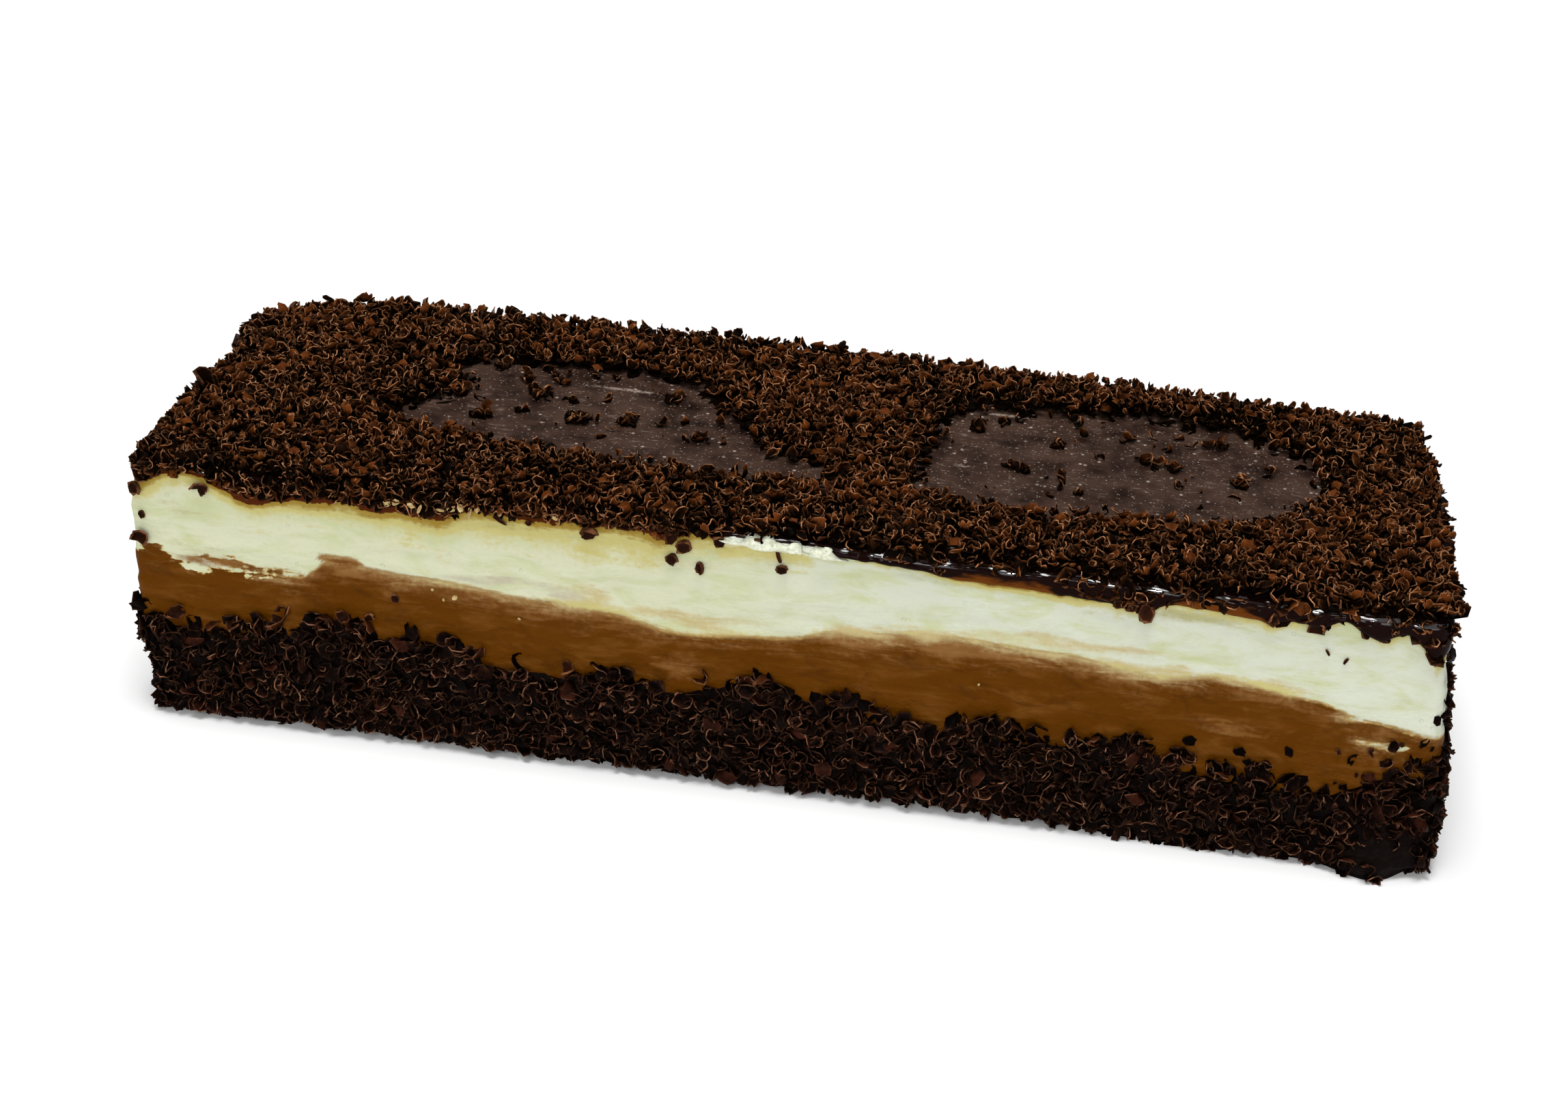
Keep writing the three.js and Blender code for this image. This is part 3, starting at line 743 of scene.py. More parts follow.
@dataclass(frozen=True)
class CreamFinish:
    """The two creams, smeared into each other at their seam and stained by the glaze above, with painted
    shade at the left front corner and painted light on the torn rim.
    """

    name: str
    white: Colour = srgb(200, 202, 174)
    white_shade: Colour = srgb(188, 192, 150)
    torn_white_and_light: Colour = srgb(226, 230, 214)
    cool_white: Colour = srgb(200, 204, 186)
    deep_mocha: Colour = srgb(87, 47, 0)
    pale_mocha: Colour = srgb(108, 66, 20)
    umber: Colour = srgb(66, 34, 2)
    seam_tan: Colour = srgb(178, 152, 92)
    rosy: Colour = srgb(128, 88, 46)
    beige: Colour = srgb(184, 168, 120)
    lavender: Colour = srgb(178, 171, 150)
    green: Colour = srgb(168, 164, 118)
    straw: Colour = srgb(188, 179, 116)
    gold: Colour = srgb(150, 124, 50)
    brown: Colour = srgb(74, 30, 6)

    def material(self) -> bpy.types.Material:
        """Makes the material. It reads the distance into the mocha and the share of each smudge."""
        tree = FinishTree(self.name)
        streaks = tree.noise((10.0, 10.0, 2.2), 3.0, 0.6, 0.8)
        fine = tree.noise(1.2, 3.0)
        clouds = tree.noise((16.0, 16.0, 6.0), 4.0, 0.62, 0.6)
        wander = (streaks - 0.5) * 3.4 + (fine - 0.5) * 1.8
        mocha_share = ((tree.number("into_mocha") + wander * tree.number("ragged"))
                       / tree.number("softness")).step(-1.0, 1.0)
        white = tree.blend(tree.number("cool"), self.white, self.cool_white)
        white = tree.blend((clouds * 0.8 + streaks * 0.2).step(0.34, 0.56), self.white_shade, white)
        mocha = tree.blend((clouds * 0.7 + streaks * 0.3).step(0.46, 0.7), self.deep_mocha, self.pale_mocha)
        umber_share = tree.noise((9.0, 9.0, 4.0), 4.0, 0.6, 0.8).step(0.52, 0.72) * 0.6
        mocha = tree.blend(umber_share, mocha, self.umber)
        body = tree.blend(mocha_share.step(0.0, 0.55), white, self.seam_tan)
        body = tree.blend(mocha_share.step(0.4, 1.0), body, mocha)
        for smudge, colour in ((Smudge.ROSY, self.rosy), (Smudge.BEIGE, self.beige),
                               (Smudge.LAVENDER, self.lavender), (Smudge.GREEN, self.green)):
            ragged = tree.number(smudge.value) + (streaks - 0.5) * 1.3 + (fine - 0.5) * 0.5
            share = ragged.step(0.2, 1.05) * tree.number(smudge.value).step(0.0, 0.3)
            body = tree.blend(share, body, colour)
        stain = (tree.number(Smudge.STAIN.value) + (clouds - 0.5) * 0.8 + (streaks - 0.5) * 0.4
                 + (fine - 0.5) * 0.25)
        for colour, low, high in ((self.straw, 0.2, 0.52), (self.gold, 0.56, 0.84), (self.brown, 0.92, 1.0)):
            body = tree.blend(stain.step(low, high), body, colour)
        # the torn cream at the rim is painted whiter: partly its own paler colour, partly painted light on
        # its upturned top
        body = tree.blend(tree.number(Smudge.TORN.value), body, self.torn_white_and_light)
        pits = tree.spots(7.0, 0.09)
        tree.shade(base_color=body, roughness=fine.step(0.2, 0.8, 0.45, 0.62), subsurface_weight=0.1,
                   subsurface_radius=(1.0, 0.8, 0.5), subsurface_scale=0.0015, specular_ior_level=0.03)
        tree.bump(streaks * 0.4 + fine * 0.5 + clouds * 0.7 - pits * 0.3, 0.55)
        return tree.material


@dataclass(frozen=True)
class GlazeFinish:
    """Dark chocolate glaze: glossy at its rim with a few wet glints, dull where it lies bare, with dust and a
    painted sheen there.
    """

    name: str = "dark_glaze"
    dark: Colour = srgb(20, 6, 4)
    dust_and_sheen: Colour = srgb(68, 50, 41)
    fleck_and_glint: Colour = srgb(160, 144, 132)
    amber: Colour = srgb(96, 50, 9)

    def material(self) -> bpy.types.Material:
        """Makes the material. It reads how thin, dull and glossy the glaze is, and where highlight streaks
        are painted on it.
        """
        tree = FinishTree(self.name)
        dull = tree.number("dull")
        cloud = tree.noise(9.0, 3.0, 0.6)
        fine = tree.noise(0.8, 2.0)
        # the dull bare glaze turns a paler grey: partly dust, partly a painted sheen
        body = tree.blend(dull * cloud.step(0.2, 0.7), self.dark, self.dust_and_sheen)
        # pale flecks, dust specks and short strokes on the dull glaze: partly dust, partly painted glints
        flecks = tree.spots(3.4, 0.17) * cloud.step(0.3, 0.55)
        strokes = tree.noise((3.0, 0.7, 0.7), 3.0).step(0.58, 0.72) * cloud.step(0.36, 0.6) * 0.3
        dust = tree.spots(0.95, 0.3) * fine.step(0.42, 0.6) * 0.75 + strokes
        body = tree.blend((flecks + dust) * dull * 0.95, body, self.fleck_and_glint)
        # painted highlight: pale streaks where light would catch low ridges on the top
        body = tree.blend(tree.number("highlight_streak") * fine.step(0.3, 0.6), body, self.fleck_and_glint)
        thin = (tree.number("thin") + (tree.noise((4.0, 4.0, 1.2), 2.0) - 0.5) * 1.8).step(0.4, 1.1)
        glossy = tree.number("gloss") * tree.noise((5.0, 5.0, 1.4), 2.0).step(0.52, 0.6)
        tree.shade(base_color=tree.blend(thin, body, self.amber),
                   roughness=(dull + (cloud - 0.5) * 0.2).step(0.0, 1.0, 0.12, 0.42),
                   specular_ior_level=0.03, coat_weight=glossy, coat_roughness=0.05, coat_ior=2.3)
        tree.bump(cloud * 0.8 + (flecks + dust) * dull * 0.6, 0.3)
        return tree.material


@dataclass(frozen=True)
class CrumbFinish:
    """The dark, lumpy crumb of the base, seen only between the flakes."""

    name: str = "dark_crumb"
    dark: Colour = srgb(9, 5, 4)
    brown: Colour = srgb(20, 11, 8)

    def material(self) -> bpy.types.Material:
        """Makes the material."""
        tree = FinishTree(self.name)
        lumps = tree.noise(1.6, 4.0, 0.65)
        tree.shade(base_color=tree.blend(lumps.step(0.35, 0.75), self.dark, self.brown), roughness=0.6,
                   specular_ior_level=0.04)
        tree.bump(lumps, 1.2)
        return tree.material


@dataclass(frozen=True)
class FloorFinish:
    """A plain pale floor with a barely uneven tone."""

    name: str = "pale_floor"
    pale: Colour = srgb(246, 246, 246)
    dim: Colour = srgb(240, 240, 240)

    def material(self) -> bpy.types.Material:
        """Makes the material."""
        tree = FinishTree(self.name)
        tone = tree.noise(60.0, 2.0)
        tree.shade(base_color=tree.blend(tone.step(0.2, 0.8, 0.0, 0.15), self.pale, self.dim),
                   roughness=0.9, specular_ior_level=0.1)
        return tree.material


@dataclass(frozen=True)
class Stroke:
    """A round-ended stroke of changing width on a plane."""

    start: tuple[float, float]
    end: tuple[float, float]
    start_radius: float
    end_radius: float

    def inside(self, u: np.ndarray, v: np.ndarray) -> np.ndarray:
        """Distance inside the stroke: its radius at the nearest place less the distance to it."""
        (u0, v0), (u1, v1) = self.start, self.end
        length = math.hypot(u1 - u0, v1 - v0)
        share = np.clip(((u - u0) * (u1 - u0) + (v - v0) * (v1 - v0)) / length ** 2, 0.0, 1.0)
        distance = np.hypot(u - mix(u0, u1, share), v - mix(v0, v1, share))
        return mix(self.start_radius, self.end_radius, share) - distance


@dataclass(frozen=True)
class Smear(Stroke):
    """A tongue of one cream in the other on the front face."""

    is_mocha: bool


@dataclass(frozen=True)
class Blot:
    """A soft oval smudge on the front face; green ones at the left front corner are painted shade."""

    kind: Smudge
    x: float
    z: float
    half_x: float
    half_z: float
    share: float

    def at(self, x: np.ndarray, z: np.ndarray) -> np.ndarray:
        """Share of the smudge at a place: full in the middle, fading out past the oval."""
        reach = np.hypot((x - self.x) / self.half_x, (z - self.z) / self.half_z)
        return self.share * (1 - ease(reach - 0.35))


@dataclass(frozen=True)
class FrontLine:
    """A value that changes along the front face and is the same on the other sides."""

    elsewhere: float
    points: Line

    def at(self, x: np.ndarray, on_front: np.ndarray) -> np.ndarray:
        """The value at places, by how much of each lies on the front."""
        return mix(self.elsewhere, eased_line(self.points, x), on_front)


@dataclass(frozen=True)
class SeamTint:
    """A smudge that follows the seam: its share, the depth over which it fades and where its patches lie."""

    kind: Smudge
    share: FrontLine
    fade: float
    patch_depth: float
    patch_half: float

    def at(self, x: np.ndarray, depth: np.ndarray, on_front: np.ndarray, patches: np.ndarray) -> np.ndarray:
        """Share of the smudge: its line, fading out with depth in the mocha, or the patches near their depth.

        Args:
            x: Places along the cake.
            depth: Distances into the mocha.
            on_front: How much of each place lies on the front.
            patches: Shares of the patches on the other sides.

        Returns:
            The share at every place.
        """
        faded = np.exp(-np.maximum(depth, 0) / self.fade)
        beside = self.share.at(x, on_front) * faded * ease(depth / 1.5 + 1)
        return np.maximum(patches * (np.abs(depth - self.patch_depth) < self.patch_half), beside)


@dataclass
class Creams:
    """The white and mocha creams: two solids whose sides meet at a smeared seam."""

    form: CakeForm
    spacing: float = 0.75
    white_rows: int = 32
    mocha_rows: int = 28
    tuck: float = 1.5
    glaze_cover: float = 0.7
    foot: float = 4.5
    seam_softness: FrontLine = FrontLine(1.0, (
        (-151, 0.35), (-112, 0.4), (-100, 0.8), (-60, 1.6), (-35, 1.4), (5, 1.3), (25, 2.2), (80, 2.2),
        (100, 1.2), (125, 0.8), (151, 0.6)))
    seam_ragged: FrontLine = FrontLine(0.5, (
        (-151, 1.0), (-128, 1.0), (-110, 0.35), (-100, 0.35), (-60, 0.5), (0, 0.4), (95, 0.4), (120, 0.5),
        (151, 0.9)))
    smears: tuple[Smear, ...] = (
        Smear((-99.0, 46.6), (-107.5, 48.4), 1.7, 0.4, True),
        Smear((-147.5, 44.5), (-144.0, 42.6), 1.6, 1.2, True),
        Smear((-136.0, 44.6), (-125.0, 42.6), 0.9, 0.5, True),
        Smear((-140.0, 40.9), (-134.0, 41.0), 0.7, 0.5, False),
        Smear((-131.0, 45.6), (-121.0, 42.6), 0.35, 0.25, True),
        Smear((-128.5, 44.2), (-118.0, 41.9), 0.3, 0.5, True),
        Smear((-121.0, 43.2), (-112.5, 42.9), 0.35, 0.2, True),
        Smear((-124.0, 40.6), (-116.0, 40.4), 0.4, 0.2, False),
        Smear((133.5, 34.4), (142.0, 33.7), 0.4, 0.95, False),
        Smear((129.0, 39.9), (132.0, 40.0), 0.4, 0.3, False),
        Smear((136.0, 37.6), (146.0, 36.4), 1.1, 0.5, True))
    blots: tuple[Blot, ...] = (
        Blot(Smudge.LAVENDER, -66, 48.2, 12, 1.8, 0.9), Blot(Smudge.LAVENDER, -52, 47.4, 8, 2.0, 0.8),
        Blot(Smudge.BEIGE, -44, 46.5, 11, 4.0, 0.8), Blot(Smudge.BEIGE, -18, 44.0, 18, 2.6, 0.8),
        Blot(Smudge.BEIGE, 108, 46.0, 14, 2.0, 0.7), Blot(Smudge.BEIGE, 30, 47.2, 24, 2.2, 0.75),
        Blot(Smudge.BEIGE, 62, 49.6, 26, 2.6, 0.7), Blot(Smudge.BEIGE, 85, 45.6, 16, 2.2, 0.8),
        Blot(Smudge.ROSY, 18, 43.2, 14, 2.6, 0.9), Blot(Smudge.ROSY, 45, 44.8, 20, 2.6, 1.0),
        Blot(Smudge.ROSY, 72, 43.4, 14, 1.8, 0.8), Blot(Smudge.ROSY, -100, 45.2, 5, 2.4, 0.9),
        Blot(Smudge.ROSY, -134, 43.6, 9, 2.4, 0.8), Blot(Smudge.ROSY, 112, 42.0, 14, 1.8, 0.6),
        Blot(Smudge.ROSY, 139, 37.2, 7, 2.2, 0.7), Blot(Smudge.ROSY, -22, 31.5, 6, 5, 0.45),
        # the two green blots at the left front corner are painted shade of the end turned from the light; the
        # other green ones lie under the glaze's lip
        Blot(Smudge.ROSY, 108, 33.0, 16, 3, 0.4), Blot(Smudge.GREEN, -142, 57, 5, 3, 0.5),
        Blot(Smudge.GREEN, -138, 47, 6, 3, 0.5), Blot(Smudge.GREEN, 84, 60.8, 26, 2.4, 0.75),
        Blot(Smudge.GREEN, 45, 62.0, 16, 1.6, 0.6), Blot(Smudge.GREEN, 60, 61.8, 14, 1.8, 0.8))
    seam_tints: tuple[SeamTint, ...] = (
        SeamTint(Smudge.ROSY, FrontLine(0.5, (
            (-151, 0.3), (-120, 0.4), (-105, 0.8), (-90, 1.0), (-40, 1.0), (-12, 0.45), (5, 0.8), (25, 1.15),
            (80, 1.1), (100, 0.8), (125, 0.6), (151, 0.7))), 4.6, 2.0, 4.0),
        SeamTint(Smudge.BEIGE, FrontLine(0.3, (
            (-151, 0.2), (-100, 0.3), (-85, 0.6), (-60, 0.5), (0, 0.4), (20, 0.7), (90, 0.8), (110, 0.4),
            (151, 0.4))), 2.2, -3.0, 3.0))
    stain_share: FrontLine = FrontLine(0.6, (
        (-151, 1.35), (-143, 1.2), (-138, 1.1), (-124, 1.3), (-100, 1.3), (-80, 1.2), (-45, 1.15), (-28, 1.3),
        (-14, 1.0), (5, 0.95), (12, 0.65), (25, 0.75), (40, 1.1), (60, 1.1), (70, 0.8), (90, 0.8), (107, 1.0),
        (125, 0.7), (151, 0.8)))
    stain_reach: FrontLine = FrontLine(1.6, (
        (-151, 4.6), (-143, 3.4), (-138, 2.8), (-124, 3.6), (-100, 5.0), (-80, 6.0), (-50, 6.0), (-25, 6.0),
        (-8, 5.5), (4, 4.5), (12, 1.6), (36, 1.4), (48, 2.0), (60, 2.0), (90, 1.8), (110, 2.4), (151, 2.2)))
    yellow_share: FrontLine = FrontLine(0.25, (
        (-151, 0.1), (-110, 0.15), (-60, 0.3), (-45, 0.46), (-10, 0.5), (5, 0.4), (20, 0.25), (50, 0.38),
        (75, 0.46), (95, 0.3), (112, 0.46), (130, 0.3), (151, 0.2)))
    yellow_fade: float = 2.6
    cool_from: float = -30.0
    cool_spread: float = 70.0
    crumbled: tuple[float, float] = (-14.0, 14.0)
    relief: Grain = field(default_factory=lambda: Grain(5))

    def crumbled_at(self, x: np.ndarray, y: np.ndarray) -> np.ndarray:
        """How far the white cream shows crumbled through the glaze's front rim."""
        low, high = self.crumbled
        return ease((x - low) / 2.5) * ease((high - x) / 2.5) * self.form.front_share(y)

    def side_outset(self, x: np.ndarray, y: np.ndarray, z: np.ndarray) -> np.ndarray:
        """Relief of the sides: broad waves, trowel strokes, ledges, fine grain and crumbs at the torn rim."""
        along = run_along(x, y)
        broad = 0.5 * self.relief.swing(along / 38, z / 22 + 3)
        strokes = 0.24 * self.relief.swing(along / 12 + 9 + z / 40, z / 3.4, 2)
        ledges = 0.26 * np.abs(self.relief.swing(along / 6.5 + 60, z / 4.2 + 8, 2))
        grain = 0.08 * self.relief.swing(along / 1.8 + 31, z / 1.3, 2)
        crumbs = self.crumbled_at(x, y) * ease((z - 64.2) / 1.5)
        lumps = crumbs * (0.5 + 0.7 * self.relief.swing(along / 2.4 + 50, z / 1.4, 2))
        return broad + strokes - ledges + grain + lumps

    def _sides(self, outline: Outline, low: np.ndarray, high: np.ndarray, rows: int) -> np.ndarray:
        """Rings between two seams, set out by the sides' relief."""
        rings = []
        for share in np.linspace(0.0, 1.0, rows + 1):
            z = mix(low, high, share)
            rings.append(outline.ring(z, self.side_outset(outline.x, outline.y, z)))
        return np.stack(rings)

    def _smeared(self, depth: np.ndarray, x: np.ndarray, z: np.ndarray, on_front: np.ndarray) -> np.ndarray:
        """Distance into the mocha with the smears: a tongue of mocha raises it and one of white lowers it."""
        for smear in self.smears:
            stroke = mix(-9.0, smear.inside(x, z), on_front)
            depth = np.maximum(depth, stroke) if smear.is_mocha else np.minimum(depth, -stroke)
        return depth

    def _stain(self, points: np.ndarray, depth: np.ndarray, on_front: np.ndarray) -> np.ndarray:
        """Share of the golden stain: it fades down from the glaze's lip, and up from the seam."""
        x, y, z = points.T
        below_lip = np.maximum(self.form.lip_height(x, y) - z, 0.0)
        under_lip = self.stain_share.at(x, on_front) * np.exp(-below_lip / self.stain_reach.at(x, on_front))
        above_seam = np.maximum(-depth, 0)
        yellowed = self.yellow_share.at(x, on_front) * np.exp(-above_seam / self.yellow_fade)
        return np.maximum(under_lip, yellowed * (1 - ease(depth + 0.5)))

    def numbers(self, points: np.ndarray) -> dict[str, np.ndarray]:
        """Numbers that the cream finish reads, at every point.

        Args:
            points: Points of a cream's mesh.

        Returns:
            The distance into the mocha, the seam's softness and raggedness, the share of the cooler white
            and each smudge's share.
        """
        x, y, z = points.T
        on_front = self.form.front_share(y)
        along = run_along(x, y)
        dragged_x = x + 5.0 * self.relief.swing(along / 8 + 11, z / 1.8 + 7, 2)
        dragged_z = z + 1.0 * self.relief.swing(along / 11 + 23, z / 3 + 19, 2)
        depth = self._smeared(
            self.form.cream_seam(x, y) - z, mix(x, dragged_x, 0.4), mix(z, dragged_z, 0.5), on_front)
        smudges = {kind: np.zeros(len(points)) for kind in Smudge}
        patches = (1 - on_front) * 0.8 * ease(self.relief.swing(along / 25 + 70, z / 5 + 40) * 1.6 - 0.2)
        for tint in self.seam_tints:
            smudges[tint.kind] = tint.at(x, depth, on_front, patches)
        for blot in self.blots:
            smudges[blot.kind] = np.maximum(smudges[blot.kind], blot.at(dragged_x, dragged_z) * on_front)
        torn_from = 65.2 + 0.8 * self.relief.swing(along / 3 + 5, z / 9)
        smudges[Smudge.TORN] = self.crumbled_at(x, y) * ease((z - torn_from) / 0.3)
        smudges[Smudge.STAIN] = self._stain(points, depth, on_front)
        return {"into_mocha": depth, "softness": self.seam_softness.at(x, on_front),
                "ragged": self.seam_ragged.at(x, on_front),
                "cool": ease((x - self.cool_from) / self.cool_spread),
                **{kind.value: share for kind, share in smudges.items()}}

    def build(self) -> list[bpy.types.Object]:
        """Makes both creams.

        Returns:
            The mocha and the white piece.
        """
        form = self.form
        outline = form.outline(self.spacing)
        x, y, count = outline.x, outline.y, len(outline.x)
        flakes, seam = form.flake_line(x, y), form.cream_seam(x, y)
        top = np.minimum(form.lip_height(x, y) + self.tuck, form.bare_level(x, y) - self.glaze_cover)
        pieces = []
        for name, low, high, rows, node in (
                ("mocha_layer", flakes - self.foot, seam, self.mocha_rows, "mocha_cream"),
                ("white_layer", seam, top, self.white_rows, "white_cream")):
            rings = self._sides(outline, low, high, rows)
            mesh = ring_solid(rings, form, (float(np.mean(low)), float(np.mean(high))))
            mesh.numbers = self.numbers(mesh.points)
            mesh.rim_labels = np.zeros(len(mesh.points))
            mesh.rim_labels[:count] = 1
            mesh.rim_labels[rows * count:(rows + 1) * count] = 2
            piece = mesh.build(name, CreamFinish(f"{name}_finish").material())
            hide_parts(node)
            pieces.append(piece)
        return pieces


@dataclass
class Glaze:
    """The glaze: a skin that rounds over the rim and hangs down to an uneven lip.

    Each ring of the lip is given as its rise over the lip's height, its outset and its share of the skirt's
    bulge.
    """

    form: CakeForm
    spacing: float = 0.9
    rim_radius: float = 2.0
    least_height: float = 0.9
    lip_rings: tuple[tuple[float, float, float], ...] = (
        (0.9, -1.2, 0.0), (0.15, 0.0, 0.0), (-0.05, 0.0, 0.55), (0.25, 0.0, 0.9))
    skirt: FrontLine = FrontLine(0.4, (
        (-151, 0.15), (-20, 0.15), (6, 0.3), (14, 0.9), (62, 0.9), (70, 0.5), (88, 0.7), (112, 1.0),
        (151, 1.0)))
    skirt_rings: int = 7
    rim_rings: int = 8
    top_rows: int = 52
    amber_share: Line = (
        (-151, 0.8), (-138, 0.9), (-125, 0.6), (-100, 0.5), (-40, 0.8), (-20, 0.7), (10, 0.3), (36, 0.35),
        (42, 1.25), (58, 1.2), (66, 0.3), (86, 0.6), (92, 1.35), (106, 1.25), (112, 0.2), (151, 0.2))
    amber_reach: Line = (
        (-151, 0.7), (36, 0.6), (44, 2.5), (58, 2.4), (66, 0.5), (86, 0.9), (92, 2.8), (104, 2.9), (112, 0.5),
        (151, 0.5))
    # strokes on the top where pale highlights are painted along low ridges
    streaks: tuple[Stroke, ...] = (
        Stroke((-58, 17.2), (-45, 17.8), 0.35, 0.175), Stroke((-45, 17.8), (-38, 16.8), 0.2, 0.1),
        Stroke((40.5, 28.6), (49.5, 28.4), 0.5, 0.25), Stroke((31, -2.4), (39.5, -1.4), 0.2, 0.1))
    waves: Grain = field(default_factory=lambda: Grain(23))

    def rings(self, outline: Outline) -> np.ndarray:
        """Rings from the tucked underside, round the lip, up the skirt, over the rim and along the top.

        The skirt swells as half a sine between the lip and the rim, and the rim is a quarter circle.

        Args:
            outline: The cake's outline.

        Returns:
            The rings, the lowest first.
        """
        x, y = outline.x, outline.y
        top = self.form.bare_level(x, y)
        lip = np.minimum(self.form.lip_height(x, y), top - self.least_height)
        along = run_along(x, y)
        waves = 0.5 * self.waves.swing(along / 9, y * 0 + 2) + 0.2 * self.waves.swing(along / 2.7, y * 0)
        bulge = self.skirt.at(x, self.form.front_share(y)) * (1 + waves)
        radius = np.minimum(self.rim_radius, (top - lip) * 0.55)
        made = [outline.ring(lip + rise, outset + bulge * share) for rise, outset, share in self.lip_rings]
        foot, shoulder = lip + self.lip_rings[-1][0], top - radius
        for share in np.linspace(0.12, 1.0, self.skirt_rings):
            swell = bulge * (1 + 0.25 * math.sin(math.pi * share))
            made.append(outline.ring(mix(foot, shoulder, share), swell))
        for angle in np.radians(np.linspace(12, 90, self.rim_rings)):
            inset = radius * (1 - math.cos(angle))
            made.append(outline.ring(shoulder + radius * math.sin(angle), bulge - inset))
        edge = made[-1]
        for share in np.arange(1, self.top_rows) / self.top_rows:
            plan = outline.toward_middle(edge, share)
            sag = 0.28 * self.waves.swing(plan[:, 0] / 16, plan[:, 1] / 11, 2)
            fine = 0.05 * self.waves.swing(plan[:, 0] / 2.2 + 40, plan[:, 1] / 2.2, 2)
            weight = min(1.0, share * 8)
            level = self.form.bare_level(plan[:, 0], plan[:, 1])
            made.append(np.column_stack([plan, level + (sag + fine) * weight]))
        return np.stack(made)

    def numbers(self, points: np.ndarray) -> dict[str, np.ndarray]:
        """Numbers that the glaze finish reads, at every point.

        The glaze is thin and amber near its lip, dull on the top and glossy along the roll of its front rim.

        Args:
            points: Points of the glaze's mesh.

        Returns:
            How thin, dull and glossy the glaze is, and where its painted highlight streaks lie.
        """
        x, y, z = points.T
        front = self.form.front
        above_lip = z - self.form.lip_height(x, y)
        level = self.form.bare_level(x, y)
        reach = eased_line(self.amber_reach, x)
        thin = eased_line(self.amber_share, x) * np.exp(-(np.maximum(above_lip, 0.0) / reach) ** 2)
        dull = ease((z - level + 1.2) / 1.0) * ease((y - front - 2.5) / 3)
        radius = np.minimum(self.rim_radius, (level - z + above_lip) * 0.55)
        rolled = 1 - (level - z) / np.maximum(radius, 0.2)
        gloss = (1 - dull) * ease((rolled - 0.12) / 0.14) * ease((0.85 - rolled) / 0.15)
        highlight_streak = np.max([ease(stroke.inside(x, y) / stroke.start_radius + 0.6) for stroke in self.streaks], 0)
        return {"thin": thin * (y < front + 3), "dull": dull, "gloss": gloss,
                "highlight_streak": highlight_streak * (z > level - 1)}

    def build(self) -> bpy.types.Object:
        """Makes the glaze."""
        rings = self.rings(self.form.outline(self.spacing))
        middle = np.zeros(1)
        heights = (float(np.mean(rings[0, :, 2])), float(self.form.bare_level(middle, middle)[0]))
        mesh = ring_solid(rings, self.form, heights)
        mesh.numbers = self.numbers(mesh.points)
        piece = mesh.build("glaze_skin", GlazeFinish().material())
        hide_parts("chocolate_glaze")
        return piece


@dataclass
class BaseCore:
    """The dark base under its flakes: a crumbly solid with a foot that curves in."""

    form: CakeForm
    spacing: float = 1.2
    rows: int = 24
    row_power: float = 1.3
    tuck: float = 2.6
    top_inset: float = 1.4
    crumb: Grain = field(default_factory=lambda: Grain(41))

    def build(self) -> bpy.types.Object:
        """Makes the base from rings that close up towards its foot, where its lumps are low."""
        outline = self.form.outline(self.spacing)
        x, y = outline.x, outline.y
        top = self.form.flake_line(x, y) - self.tuck
        along = run_along(x, y)
        rings = []
        for share in np.linspace(0.0, 1.0, self.rows + 1) ** self.row_power:
            z = top * share
            lumps = 0.5 * self.crumb.swing(along / 3.1, z / 2.6, 2) * (0.3 if share == 0.0 else 1.0)
            drawn_in = self.top_inset if share == 1.0 else 0.0
            rings.append(outline.ring(z, self.form.base_outset(x, y, z) + lumps - drawn_in))
        mesh = ring_solid(np.stack(rings), self.form, (0.0, float(np.mean(top))))
        piece = mesh.build("base_core", CrumbFinish().material())
        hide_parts("flake_base")
        return piece


